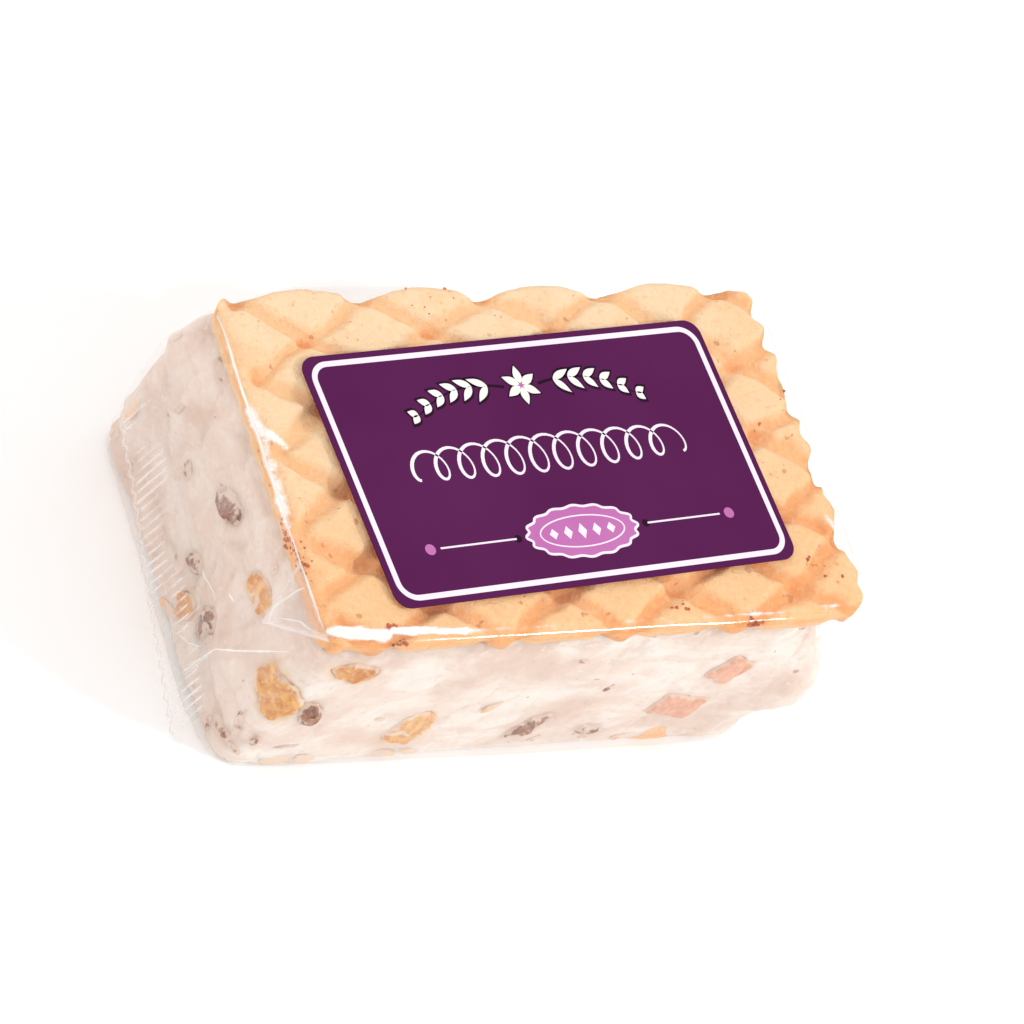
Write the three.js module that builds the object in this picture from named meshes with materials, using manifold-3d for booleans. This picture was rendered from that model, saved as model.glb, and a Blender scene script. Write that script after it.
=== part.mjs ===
// A block of whipped nougat with raisins, candied peel and fruit jelly, pressed between two embossed wafers,
// wrapped in clear film that is sealed and folded at both ends, with a paper label on top.
// Millimetres, +Z up. X runs along the block, the front face looks to -Y and the left end to -X.
// The origin is under the middle of the block, on the surface that it lies on.

import * as THREE from "three";
import { mergeVertices } from "three/addons/utils/BufferGeometryUtils.js";
import Module from "manifold-3d";

const wasm = await Module();
wasm.setup();

// ---- driving dimensions -------------------------------------------------------------------------------

const waferLength = 92; // along X, edge to edge without the scallops
const waferWidth = 55.4; // along Y
const waferCorner = 4.2; // radius of the wafer's corners
const waferPlate = 1.8; // solid sheet under the relief
const reliefDepth = 2.3; // from the floor of a pit to the flat of a pad
const padPitchX = 20.7; // pads repeat this far apart along X
const padPitchY = 12.2; // and this far apart along Y, with one more pad in the middle of each four
const padLean = 0.1; // each row of pads steps sideways by this share of its distance along Y
const padOrigin = [-32, 26.7]; // middle of the pad at the back left
const waferRimWear = 0.5; // the rim is worn this much lower
const padFlat = 0.3; // share of the pitch, from a pad's middle, that stays flat
const scallopPitch = 6.3; // waves along the wafer's two ends
const scallopDepth = 0.7;
const longWaveDepth = 0.55; // slower waves along the wafer's front and back, one for each pad

const blockTop = 37.7; // flat of the upper pads
const seatGap = 0.3; // clearance between pieces that touch
const upperWaferBase = blockTop - waferPlate - reliefDepth;
const lowerWaferTop = waferPlate + reliefDepth - 0.6; // the lower relief is pressed 0.6 flatter
const lowerWaferTurn = THREE.MathUtils.degToRad(-1.6); // the lower wafer lies slightly askew
const lowerWaferShrink = 2.2; // and is this much smaller than the upper one

const nougatHalfLength = 45.3;
const nougatHalfWidth = 27.1;
const nougatCorner = 4;
const nougatBase = 0.7; // the nougat is squeezed down past the lower wafer's edge
const nougatTop = upperWaferBase - seatGap;
const raisinProud = 0.4; // the most that a raisin stands out of the nougat
const nougatBelly = 0.5; // the side walls swell this much at half height
const outlineCounts = { alongX: 17, alongY: 10, corner: 3 }; // points round the nougat and the film
const nougatLevels = 8; // rows of points up its side

const filmThickness = 0.3;
const filmClearance = 0.8; // from the food to the film's inside
const filmTop = blockTop + 0.35; // inside of the film over the pads
const filmHem = 0.8; // the side walls stop this far above the table
const sealLength = 44; // end seal, along Y
const sealDrop = 9; // from its root to the toothed edge
const sealThickness = 0.5;
const sealSlope = 0.28; // how much it slants on the end face
const sealRootHeight = 16.5; // height of the root in the middle of the end
const sealStandOff = 1.6; // how far its toothed edge stands off the end face
const toothPitch = 2.2;
const toothDepth = 1.1;

const labelLength = 70;
const labelWidth = 40;
const labelCorner = 2.5;
const labelThickness = 0.3;
const labelTurn = THREE.MathUtils.degToRad(4);
const labelMiddle = [-0.5, -1.15];
const labelBase = filmTop + filmThickness + seatGap;

// ---- colours and finishes -----------------------------------------------------------------------------

const finishes = {
  nougat: new THREE.MeshStandardMaterial({ color: 0xf0e2d6, roughness: 0.6, metalness: 0 }),
  wafer: new THREE.MeshStandardMaterial({ color: 0xf7c489, roughness: 0.75, metalness: 0 }),
  raisin: new THREE.MeshStandardMaterial({ color: 0x77604f, roughness: 0.5, metalness: 0 }),
  peel: new THREE.MeshStandardMaterial({ color: 0xe6ac5e, roughness: 0.4, metalness: 0 }),
  jelly: new THREE.MeshStandardMaterial({ color: 0xdca892, roughness: 0.4, metalness: 0 }),
  label: new THREE.MeshStandardMaterial({ color: 0x652a5c, roughness: 0.35, metalness: 0 }),
  film: new THREE.MeshStandardMaterial({
    color: 0xf6f7f8,
    roughness: 0.08,
    metalness: 0,
    transparent: true,
    opacity: 0.2,
  }),
};

// ---- small helpers ------------------------------------------------------------------------------------

// A repeatable random number from 0 to 1 for each call.
function makeRandom(seed) {
  let state = seed >>> 0;
  return () => {
    state = (state + 0x6d2b79f5) >>> 0;
    let mixed = Math.imul(state ^ (state >>> 15), 1 | state);
    mixed = (mixed + Math.imul(mixed ^ (mixed >>> 7), 61 | mixed)) ^ mixed;
    return ((mixed ^ (mixed >>> 14)) >>> 0) / 4294967296;
  };
}

function smoothStep(low, high, value) {
  const share = THREE.MathUtils.clamp((value - low) / (high - low), 0, 1);
  return share * share * (3 - 2 * share);
}

function geometryFrom(points, triangles) {
  const geometry = new THREE.BufferGeometry();
  geometry.setAttribute("position", new THREE.Float32BufferAttribute(points.flat(), 3));
  geometry.setIndex(triangles.flat());
  return geometry;
}

// A copy with its places alone, each place once.
function weldedCopy(geometry) {
  const bare = geometry.clone();
  bare.deleteAttribute("normal");
  bare.deleteAttribute("uv");
  return mergeVertices(bare, 1e-4);
}

function toSolid(geometry) {
  const merged = weldedCopy(geometry);
  return new wasm.Manifold(
    new wasm.Mesh({
      numProp: 3,
      vertProperties: new Float32Array(merged.attributes.position.array),
      triVerts: new Uint32Array(merged.index.array),
    }),
  );
}

function fromSolid(solid) {
  const mesh = solid.getMesh();
  const geometry = new THREE.BufferGeometry();
  geometry.setAttribute("position", new THREE.BufferAttribute(new Float32Array(mesh.vertProperties), 3));
  geometry.setIndex(new THREE.BufferAttribute(new Uint32Array(mesh.triVerts), 1));
  return geometry;
}

// The largest closed body of a solid, without loose scraps and without hollows that joining has shut.
function mainBody(solid) {
  const bodies = solid.decompose();
  return fromSolid(bodies.reduce((most, body) => (body.volume() > most.volume() ? body : most)));
}

// A closed body from a pole, a stack of rings of equal count, and a last pole. Each ring runs
// anticlockwise seen from above, and the stack runs from below to above on the outside.
function bodyOfRings(firstPole, rings, lastPole) {
  const count = rings[0].length;
  const points = [firstPole, ...rings.flat(), lastPole];
  const last = points.length - 1;
  const triangles = [];
  for (let i = 0; i < count; i += 1) {
    const next = (i + 1) % count;
    triangles.push([0, 1 + next, 1 + i]);
    for (let k = 0; k + 1 < rings.length; k += 1) {
      const low = 1 + k * count;
      const high = low + count;
      triangles.push([low + i, low + next, high + next]);
      triangles.push([low + i, high + next, high + i]);
    }
    const top = 1 + (rings.length - 1) * count;
    triangles.push([top + i, top + next, last]);
  }
  return geometryFrom(points, triangles);
}

// Points round a rectangle with round corners, each with its outward direction: so many on each side
// along X, on each side along Y and in each corner.
function roundedOutline(halfLength, halfWidth, radius, counts = outlineCounts) {
  const outline = [];
  for (let side = 0; side < 4; side += 1) {
    const turn = (side * Math.PI) / 2;
    const along = [Math.cos(turn), Math.sin(turn)];
    const out = [along[1], -along[0]];
    const [half, away] = side % 2 ? [halfWidth, halfLength] : [halfLength, halfWidth];
    const sideCount = side % 2 ? counts.alongY : counts.alongX;
    for (let i = 0; i < sideCount; i += 1) {
      const place = (half - radius) * ((2 * i + 1) / sideCount - 1);
      const at = [along[0] * place + out[0] * away, along[1] * place + out[1] * away];
      outline.push({ at, out });
    }
    for (let i = 0; i < counts.corner; i += 1) {
      const bend = ((i + 0.5) / counts.corner) * (Math.PI / 2);
      const tipped = [
        out[0] * Math.cos(bend) + along[0] * Math.sin(bend),
        out[1] * Math.cos(bend) + along[1] * Math.sin(bend),
      ];
      const middle = [
        along[0] * (half - radius) + out[0] * (away - radius),
        along[1] * (half - radius) + out[1] * (away - radius),
      ];
      outline.push({ at: [middle[0] + tipped[0] * radius, middle[1] + tipped[1] * radius], out: tipped });
    }
  }
  return outline;
}

// ---- wafers -------------------------------------------------------------------------------------------

// Share of the full relief at a point of the wafer: 1 on a pad, falling along two crossed sets of
// grooves, and lowest in the pit where two grooves cross.
function reliefShare(x, y) {
  const along = (x - padOrigin[0] - padLean * (y - padOrigin[1])) / padPitchX;
  const across = (y - padOrigin[1]) / padPitchY;
  const grooves = [along + across, along - across].map((phase) => {
    const fromPad = Math.abs(phase - Math.round(phase));
    return smoothStep(padFlat, 0.5, fromPad);
  });
  return 1 - 0.62 * Math.max(...grooves) - 0.38 * Math.min(...grooves);
}

// A point of the wafer from u and v, which run from -1 to 1, with round corners and wavy edges.
function waferPoint(u, v, shrink) {
  const halfLength = (waferLength - shrink) / 2;
  const halfWidth = (waferWidth - shrink) / 2;
  let x = u * halfLength;
  let y = v * halfWidth;
  const overX = (Math.abs(x) - halfLength + waferCorner) / waferCorner;
  const overY = (Math.abs(y) - halfWidth + waferCorner) / waferCorner;
  if (overX > 0 && overY > 0) {
    const roundX = overX * Math.sqrt(1 - (overY * overY) / 2);
    const roundY = overY * Math.sqrt(1 - (overX * overX) / 2);
    x = Math.sign(x) * (halfLength - waferCorner + waferCorner * roundX);
    y = Math.sign(y) * (halfWidth - waferCorner + waferCorner * roundY);
  }
  const endWave = scallopDepth * Math.cos((2 * Math.PI * y) / scallopPitch);
  const sideWave = longWaveDepth * Math.cos((2 * Math.PI * (x - padOrigin[0])) / padPitchX);
  x += Math.sign(u) * endWave * smoothStep(0.9, 1, Math.abs(u));
  y += Math.sign(v) * sideWave * smoothStep(0.86, 1, Math.abs(v));
  return [x, y];
}

// One wafer with its flat side at z = 0 and its relief above, from a grid of columns by rows.
function waferGeometry(columns, rows, shrink, depth) {
  const points = [];
  const triangles = [];
  const place = (i, j) => j * (columns + 1) + i;
  for (let j = 0; j <= rows; j += 1) {
    for (let i = 0; i <= columns; i += 1) {
      const u = (2 * i) / columns - 1;
      const v = (2 * j) / rows - 1;
      const [x, y] = waferPoint(u, v, shrink);
      const worn = waferRimWear * smoothStep(0.95, 1, Math.max(Math.abs(u), Math.abs(v)));
      points.push([x, y, waferPlate + depth * reliefShare(x, y) - worn]);
    }
  }
  for (let j = 0; j < rows; j += 1) {
    for (let i = 0; i < columns; i += 1) {
      const corners = [place(i, j), place(i + 1, j), place(i + 1, j + 1), place(i, j + 1)];
      const heights = corners.map((corner) => points[corner][2]);
      const bent = Math.abs(heights[0] - heights[2]) > Math.abs(heights[1] - heights[3]);
      const [a, b, c, d] = bent ? [...corners.slice(1), corners[0]] : corners;
      triangles.push([a, b, c], [a, c, d]);
    }
  }
  const rim = [];
  for (let i = 0; i < columns; i += 1) rim.push(place(i, 0));
  for (let j = 0; j < rows; j += 1) rim.push(place(columns, j));
  for (let i = columns; i > 0; i -= 1) rim.push(place(i, rows));
  for (let j = rows; j > 0; j -= 1) rim.push(place(0, j));
  const firstBelow = points.length;
  for (const corner of rim) points.push([points[corner][0], points[corner][1], 0]);
  const middle = points.length;
  points.push([0, 0, 0]);
  rim.forEach((corner, i) => {
    const next = (i + 1) % rim.length;
    triangles.push([corner, firstBelow + i, firstBelow + next], [corner, firstBelow + next, rim[next]]);
    triangles.push([middle, firstBelow + next, firstBelow + i]);
  });
  return geometryFrom(points, triangles);
}

const upperWafer = waferGeometry(40, 28, 0, reliefDepth);
upperWafer.translate(0, 0, upperWaferBase);

// The lower wafer has its relief downwards: a half turn about X, then its small skew.
const lowerWafer = waferGeometry(28, 20, lowerWaferShrink, lowerWaferTop - waferPlate);
lowerWafer.rotateX(Math.PI);
lowerWafer.rotateZ(lowerWaferTurn);
lowerWafer.translate(-0.6, -0.3, lowerWaferTop);

// ---- nougat -------------------------------------------------------------------------------------------

// Lumps and hollows in the side walls: where, how far they reach level and upright, and how far out.
const lumps = [
  { at: [46, -27, 14], reach: 9, rise: 7, out: 2.6 },
  { at: [46, -27, 30], reach: 9, rise: 4, out: -2.6 },
  { at: [-46, 27, 26], reach: 8, rise: 6, out: 1.8 },
  { at: [-46, 27, 6], reach: 9, rise: 6, out: 1.1 },
  { at: [-46, 15, 2], reach: 6, rise: 3, out: -1.8 },
  { at: [-45, -27, 1], reach: 7, rise: 4, out: -1.4 },
  { at: [44, 20, 20], reach: 10, rise: 9, out: 1.6 },
  { at: [10, 27, 12], reach: 14, rise: 9, out: 0.6 },
  { at: [-20, 27, 27], reach: 10, rise: 5, out: -1.1 },
];

// How far the wall stands outside its straight outline at a place of that outline.
function wallSwell(x, y, z) {
  const height = (z - nougatBase) / (nougatTop - nougatBase);
  let out = nougatBelly * Math.sin(Math.PI * THREE.MathUtils.clamp(height, 0, 1));
  for (const lump of lumps) {
    const level = ((x - lump.at[0]) ** 2 + (y - lump.at[1]) ** 2) / lump.reach ** 2;
    const upright = ((z - lump.at[2]) / lump.rise) ** 2;
    out += lump.out * Math.exp(-level - upright);
  }
  out += 0.32 * Math.sin(0.37 * x + 0.51 * z + 0.9) * Math.cos(0.29 * y - 0.23 * z);
  out += 0.24 * Math.sin(0.71 * x - 0.34 * z) * Math.sin(0.63 * y + 0.8 * z + 1.7);
  return out;
}

function nougatRing(z, grow) {
  const outline = roundedOutline(nougatHalfLength, nougatHalfWidth, nougatCorner);
  return outline.map(({ at, out }) => {
    const swell = wallSwell(at[0], at[1], z) + grow;
    return [at[0] + out[0] * swell, at[1] + out[1] * swell, z];
  });
}

function nougatBody(grow) {
  const rings = [];
  for (let k = 0; k <= nougatLevels; k += 1) {
    const z = THREE.MathUtils.lerp(nougatBase, nougatTop, k / nougatLevels);
    rings.push(nougatRing(z, k === 0 || k === nougatLevels ? grow - 0.6 : grow));
  }
  return toSolid(bodyOfRings([0, 0, nougatBase], rings, [0, 0, nougatTop]));
}

const nougatBlock = nougatBody(0);

// The seat of the lower wafer: its outline, a little larger, up to its flat side.
function lowerSeat() {
  const outline = roundedOutline(
    (waferLength - lowerWaferShrink) / 2 + scallopDepth + seatGap,
    (waferWidth - lowerWaferShrink) / 2 + longWaveDepth + seatGap,
    waferCorner / 2,
    { alongX: 2, alongY: 2, corner: 2 },
  );
  const ring = (z) => outline.map(({ at }) => [at[0], at[1], z]);
  const top = lowerWaferTop + seatGap;
  const seat = bodyOfRings([0, 0, -2], [ring(-2), ring(top)], [0, 0, top]);
  seat.rotateZ(lowerWaferTurn);
  seat.translate(-0.6, -0.3, 0);
  return toSolid(seat);
}

// ---- fruit in the nougat ------------------------------------------------------------------------------

// Each face's direction to its right, seen from outside, and its outward direction.
const faces = {
  front: { right: [1, 0], out: [0, -1], half: nougatHalfWidth },
  back: { right: [-1, 0], out: [0, 1], half: nougatHalfWidth },
  left: { right: [0, -1], out: [-1, 0], half: nougatHalfLength },
  right: { right: [0, 1], out: [1, 0], half: nougatHalfLength },
};

// What shows at each face: its name, whose first word is its kind, its face, how far right of the face's
// middle and how high, its length, height and depth, its turn in the face in degrees, and how far it
// stands out of the wall.
const fruit = [
  ["raisin_front_1", "front", [-38.3, 16.8], [6.4, 2.6, 4], -61, 0.4],
  ["raisin_front_2", "front", [3.5, 7.3], [8.4, 3.2, 4.5], 50, 0.3],
  ["raisin_front_3", "front", [16, 4.9], [8, 3.6, 4.5], -12, 0.2],
  ["raisin_front_4", "right", [-24.2, 13.6], [6, 6.2, 6], 30, 0.5],
  ["peel_front_1", "front", [-43.4, 19.2], [5.4, 9, 8], 12, 1],
  ["peel_front_2", "front", [-18, 9.6], [6.4, 10.5, 5], 8, 1],
  ["peel_front_3", "front", [-36.6, 27.8], [8.6, 3.4, 4], -15, 1],
  ["jelly_front_1", "front", [27, 11.4], [10.4, 6.6, 6], -14, 1],
  ["jelly_front_2", "front", [30.4, 21.8], [6.6, 6.8, 5], -30, 1],
  ["raisin_left_1", "left", [-1.2, 24.2], [9, 4.4, 5], 34, 0.2],
  ["raisin_left_2", "left", [9.6, 10], [6.4, 9.6, 6], 14, 0.3],
  ["raisin_left_3", "left", [0.8, 12], [3.8, 5, 4], -20, 0.2],
  ["raisin_left_4", "left", [22.6, 5.2], [5.4, 3.4, 4], -15, 0.2],
  ["peel_left_1", "left", [12.8, 24.7], [7.8, 4.8, 5], 30, 1],
  ["peel_left_2", "left", [4.6, 6.2], [3.4, 4.4, 4], 0, 1],
  ["raisin_right_1", "right", [6, 21], [8, 4.2, 5], -28, 0.3],
  ["raisin_right_2", "right", [-13, 24], [5, 4, 4], 40, 0.3],
  ["peel_right_1", "right", [15, 11], [7.6, 6, 5], 20, 1],
  ["jelly_right_1", "right", [-2, 9.6], [8, 6, 5], 10, 1],
  ["raisin_back_1", "back", [-34, 12], [7.6, 4, 5], 38, 0.3],
  ["raisin_back_2", "back", [-6, 22], [6.6, 3.6, 4.5], -42, 0.3],
  ["raisin_back_3", "back", [27, 8.4], [8.4, 4, 5], 12, 0.2],
  ["peel_back_1", "back", [-19, 15], [8.6, 6.4, 5], 24, 1],
  ["peel_back_2", "back", [36, 22.5], [6.6, 7.6, 5], -10, 1],
  ["jelly_back_1", "back", [12, 14], [9.6, 6.4, 5.5], -16, 1],
  ["jelly_back_2", "back", [20, 25], [6, 5, 5], 30, 1],
].map(([name, face, place, size, turn, proud]) => {
  const kind = name.split("_")[0];
  return { name, kind, face, right: place[0], up: place[1], size, turn, proud };
});

// A lumpy rounded body one unit in radius: raisins and peel from a faceted ball, jelly from a soft cube.
function lumpyBall(kind, random) {
  const cube = () => new THREE.BoxGeometry(1.5, 1.5, 1.7, 2, 2, 1);
  const ball = kind === "jelly" ? cube() : new THREE.IcosahedronGeometry(1, 1);
  const merged = weldedCopy(ball);
  const spots = merged.attributes.position;
  const spread = kind === "jelly" ? 0.12 : 0.16;
  for (let i = 0; i < spots.count; i += 1) {
    const share = 1 - spread / 2 + spread * random();
    spots.setXYZ(i, spots.getX(i) * share, spots.getY(i) * share, spots.getZ(i) * share);
  }
  return merged;
}

// The fruit in place, grown by a margin on every side.
function fruitGeometry(piece, seed, margin) {
  const face = faces[piece.face];
  const base = [
    face.right[0] * piece.right + face.out[0] * face.half,
    face.right[1] * piece.right + face.out[1] * face.half,
  ];
  const swell = wallSwell(base[0], base[1], piece.up);
  const inwards = piece.size[2] / 2 - piece.proud;
  const body = lumpyBall(piece.kind, makeRandom(seed));
  body.scale(piece.size[0] / 2 + margin, piece.size[1] / 2 + margin, piece.size[2] / 2 + margin);
  body.rotateZ(THREE.MathUtils.degToRad(piece.turn));
  const right = new THREE.Vector3(face.right[0], face.right[1], 0);
  const out = new THREE.Vector3(face.out[0], face.out[1], 0);
  body.applyMatrix4(new THREE.Matrix4().makeBasis(right, new THREE.Vector3(0, 0, 1), out));
  body.translate(
    base[0] + face.out[0] * (swell - inwards),
    base[1] + face.out[1] * (swell - inwards),
    piece.up,
  );
  return body;
}

// Peel and jelly are cut flush with the wall, while a raisin keeps its round back. None enters the wafer.
const waferSeat = lowerSeat();
const raisinReach = nougatBody(raisinProud);
const fruitParts = fruit.map((piece, index) => {
  const whole = toSolid(fruitGeometry(piece, 40 + index, 0)).subtract(waferSeat);
  const solid = whole.intersect(piece.kind === "raisin" ? raisinReach : nougatBlock);
  const pocket = toSolid(fruitGeometry(piece, 40 + index, seatGap));
  return { ...piece, solid, pocket };
});

let nougatSolid = nougatBlock.subtract(waferSeat);
for (const { pocket } of fruitParts) nougatSolid = nougatSolid.subtract(pocket);
const nougat = mainBody(nougatSolid);

// ---- film ---------------------------------------------------------------------------------------------

const filmHeights = [filmHem, 7, 14, 22, 30, 36.2];

// How far the film's inside must stand outside the nougat's straight outline at one height.
function neededSwell({ at, out }, z) {
  const cornerShare = 2 * Math.abs(out[0] * out[1]);
  const waferOver = waferLength / 2 - nougatHalfLength + scallopDepth + 0.6 + 0.9 * cornerShare;
  if (z > 32 || z < lowerWaferTop + 1) return waferOver;
  return Math.max(wallSwell(at[0], at[1], z) + filmClearance, 0.6);
}

// Pulled tight, the film runs straight from one lump to the next and never dips into a hollow.
function tautSwells(station) {
  const needed = filmHeights.map((z) => neededSwell(station, z));
  return filmHeights.map((z, k) => {
    let out = needed[k];
    for (let low = 0; low < k; low += 1) {
      for (let high = k + 1; high < filmHeights.length; high += 1) {
        const share = (z - filmHeights[low]) / (filmHeights[high] - filmHeights[low]);
        out = Math.max(out, THREE.MathUtils.lerp(needed[low], needed[high], share));
      }
    }
    return out;
  });
}

// The film's swell at any height, between the rows above.
function filmSwell(station, z) {
  const swells = tautSwells(station);
  const high = Math.max(filmHeights.findIndex((height) => height >= z), 1);
  const share = (z - filmHeights[high - 1]) / (filmHeights[high] - filmHeights[high - 1]);
  return THREE.MathUtils.lerp(swells[high - 1], swells[high], share);
}

// Rings of one skin of the film, from its hem to near the middle of the top.
function filmRings(outwards) {
  const outline = roundedOutline(nougatHalfLength, nougatHalfWidth, nougatCorner);
  const swells = outline.map(tautSwells);
  const topEdge = [
    { z: filmTop - 0.5 + outwards * 0.5, back: 0.3 },
    { z: filmTop + outwards, back: 1.3 },
  ];
  const rings = filmHeights.map((z, k) =>
    outline.map(({ at, out }, i) => {
      const swell = swells[i][k] + outwards;
      return [at[0] + out[0] * swell, at[1] + out[1] * swell, z];
    }),
  );
  for (const { z, back } of topEdge) {
    rings.push(
      outline.map(({ at, out }, i) => {
        const swell = swells[i][filmHeights.length - 1] + outwards - back;
        return [at[0] + out[0] * swell, at[1] + out[1] * swell, z];
      }),
    );
  }
  return rings;
}

// The skin is a deep cover over the block, open underneath: its inside is walked down and its outside up.
const insideRings = filmRings(0).reverse();
const outsideRings = filmRings(filmThickness);
const filmSkin = toSolid(
  bodyOfRings([0, 0, filmTop], [...insideRings, ...outsideRings], [0, 0, filmTop + filmThickness]),
);

// The end seal: a flat band with a toothed edge, slanting on the end face, rooted in the film's end.
function sealGeometry(side) {
  const teeth = Math.round(sealLength / toothPitch);
  const rootHeight = (y) => sealRootHeight + sealSlope * y;
  const outline = [];
  for (let i = 0; i <= teeth; i += 1) {
    const y = sealLength / 2 - (i / teeth) * sealLength;
    outline.push([y, Math.max(rootHeight(y) - sealDrop, 1.1 + toothDepth)]);
    if (i < teeth) {
      const between = y - toothPitch / 2;
      outline.push([between, Math.max(rootHeight(between) - sealDrop, 1.1 + toothDepth) - toothDepth]);
    }
  }
  const rootSteps = 8;
  for (let i = 0; i <= rootSteps; i += 1) {
    const y = -sealLength / 2 + (i / rootSteps) * sealLength;
    outline.push([y, rootHeight(y)]);
  }
  const shape = new THREE.Shape(outline.map(([y, z]) => new THREE.Vector2(y, z)));
  const band = new THREE.ExtrudeGeometry(shape, { depth: sealThickness, bevelEnabled: false });
  const spots = band.attributes.position;
  for (let i = 0; i < spots.count; i += 1) {
    const y = spots.getX(i);
    const z = spots.getY(i);
    const layer = spots.getZ(i);
    const drop = THREE.MathUtils.clamp((rootHeight(y) - z) / sealDrop, 0, 1);
    const swell = filmSwell({ at: [side * nougatHalfLength, y], out: [side, 0] }, z);
    const x = nougatHalfLength + swell + filmThickness / 3 + drop * sealStandOff + layer;
    spots.setXYZ(i, side * x, y, z);
  }
  return side > 0 ? band : flipped(band);
}

// Turns every triangle over, after a body has been mirrored.
function flipped(geometry) {
  const bare = weldedCopy(geometry);
  const order = bare.index.array;
  for (let i = 0; i < order.length; i += 3) {
    [order[i], order[i + 1]] = [order[i + 1], order[i]];
  }
  return bare;
}

const film = mainBody(filmSkin.add(toSolid(sealGeometry(-1))).add(toSolid(sealGeometry(1))));

// ---- label --------------------------------------------------------------------------------------------

function labelGeometry() {
  const halfLength = labelLength / 2 - labelCorner;
  const halfWidth = labelWidth / 2 - labelCorner;
  const shape = new THREE.Shape();
  shape.absarc(halfLength, halfWidth, labelCorner, 0, Math.PI / 2);
  shape.absarc(-halfLength, halfWidth, labelCorner, Math.PI / 2, Math.PI);
  shape.absarc(-halfLength, -halfWidth, labelCorner, Math.PI, 1.5 * Math.PI);
  shape.absarc(halfLength, -halfWidth, labelCorner, 1.5 * Math.PI, 2 * Math.PI);
  return new THREE.ExtrudeGeometry(shape, { depth: labelThickness, bevelEnabled: false, curveSegments: 6 });
}

// ---- the whole ----------------------------------------------------------------------------------------

const candy = new THREE.Group();

function addPiece(name, geometry, finish) {
  const piece = new THREE.Mesh(geometry, finishes[finish].clone());
  piece.name = name;
  candy.add(piece);
  return piece;
}

addPiece("nougat", nougat, "nougat");
addPiece("wafer_top", upperWafer, "wafer");
addPiece("wafer_bottom", lowerWafer, "wafer");
for (const { name, kind, solid } of fruitParts) addPiece(name, mainBody(solid), kind);
addPiece("film", film, "film");
const label = addPiece("label", labelGeometry(), "label");
label.position.set(labelMiddle[0], labelMiddle[1], labelBase);
label.rotation.z = labelTurn;

// The whole is moved so that its box stands centred on the origin.
const bounds = new THREE.Box3().setFromObject(candy);
const middle = bounds.getCenter(new THREE.Vector3());
candy.position.set(-middle.x, -middle.y, -bounds.min.z);

export default candy;
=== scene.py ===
import math
import random

import bmesh
import bpy
from mathutils import Matrix, Vector, noise
from mathutils.bvhtree import BVHTree


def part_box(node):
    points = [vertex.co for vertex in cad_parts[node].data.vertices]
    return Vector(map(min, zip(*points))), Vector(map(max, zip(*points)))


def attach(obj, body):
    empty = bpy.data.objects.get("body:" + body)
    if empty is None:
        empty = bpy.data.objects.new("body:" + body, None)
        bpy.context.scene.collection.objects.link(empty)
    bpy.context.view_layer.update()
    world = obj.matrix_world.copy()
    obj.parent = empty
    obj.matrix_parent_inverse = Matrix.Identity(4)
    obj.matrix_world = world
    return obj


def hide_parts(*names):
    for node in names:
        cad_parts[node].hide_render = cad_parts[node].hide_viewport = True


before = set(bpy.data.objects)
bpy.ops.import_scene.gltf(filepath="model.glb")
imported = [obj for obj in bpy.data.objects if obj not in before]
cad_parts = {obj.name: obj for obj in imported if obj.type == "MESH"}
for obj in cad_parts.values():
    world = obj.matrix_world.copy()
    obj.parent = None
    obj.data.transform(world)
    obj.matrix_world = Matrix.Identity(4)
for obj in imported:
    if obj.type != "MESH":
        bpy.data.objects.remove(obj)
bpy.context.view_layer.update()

mm = 0.001
waferLow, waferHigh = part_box("wafer_top")
blockMiddle = Vector(((waferLow.x + waferHigh.x) / 2, (waferLow.y + waferHigh.y) / 2, 0))
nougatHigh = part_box("nougat")[1]


def at(x, y, z):  # millimetres from the middle of the block's foot
    return blockMiddle + Vector((x, y, z)) * mm


def tint(red, green, blue):  # 0 to 255 as seen on a screen, to the linear colour of a shader
    def linear(value):
        share = value / 255
        return share / 12.92 if share < 0.04045 else ((share + 0.055) / 1.055) ** 2.4
    return (linear(red), linear(green), linear(blue), 1)


# ways to write node trees as sums

def feed(tree, entry, value):
    if isinstance(value, bpy.types.Node):
        tree.links.new(value.outputs[0], entry)
    elif isinstance(value, Wire):
        tree.links.new(value.socket, entry)
    else:
        entry.default_value = value


class Wire:  # a node's output that takes arithmetic, in shader and geometry trees alike
    def __init__(self, tree, socket):
        self.tree = tree
        self.socket = socket

    def run(self, operation, *others):
        return made(self.tree, "ShaderNodeMath", dict(enumerate((self, *others))), operation=operation)

    def __add__(self, other):
        return self.run("ADD", other)

    def __sub__(self, other):
        return self.run("SUBTRACT", other)

    def __mul__(self, other):
        return self.run("MULTIPLY", other)

    def __truediv__(self, other):
        return self.run("DIVIDE", other)

    def flip(self):  # one less the value
        return (self * -1) + 1

    def rise(self, low, high):  # 0 below low, 1 above high, smooth between
        ends = {"Value": self, "From Min": low, "From Max": high}
        return made(self.tree, "ShaderNodeMapRange", ends, interpolation_type="SMOOTHSTEP")


def fill(tree, node, inputs):
    for name, value in inputs.items():
        feed(tree, node.inputs[name], value)


def addNode(tree, kind, inputs=None, **settings):
    node = tree.nodes.new(kind)
    for name, value in settings.items():
        setattr(node, name, value)
    fill(tree, node, inputs or {})
    return node


def made(tree, kind, inputs=None, **settings):  # the first output of a new node
    return Wire(tree, addNode(tree, kind, inputs, **settings).outputs[0])


def split(tree, vector):
    return [Wire(tree, socket) for socket in addNode(tree, "ShaderNodeSeparateXYZ", {"Vector": vector}).outputs]


def join(tree, x, y, z):
    return made(tree, "ShaderNodeCombineXYZ", {"X": x, "Y": y, "Z": z})


def cloud(tree, coords, scale, detail=3, rough=0.55, bend=0):  # noise from 0 to 1
    values = {"Vector": coords, "Scale": scale, "Detail": detail, "Roughness": rough, "Distortion": bend}
    return made(tree, "ShaderNodeTexNoise", values)


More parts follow.
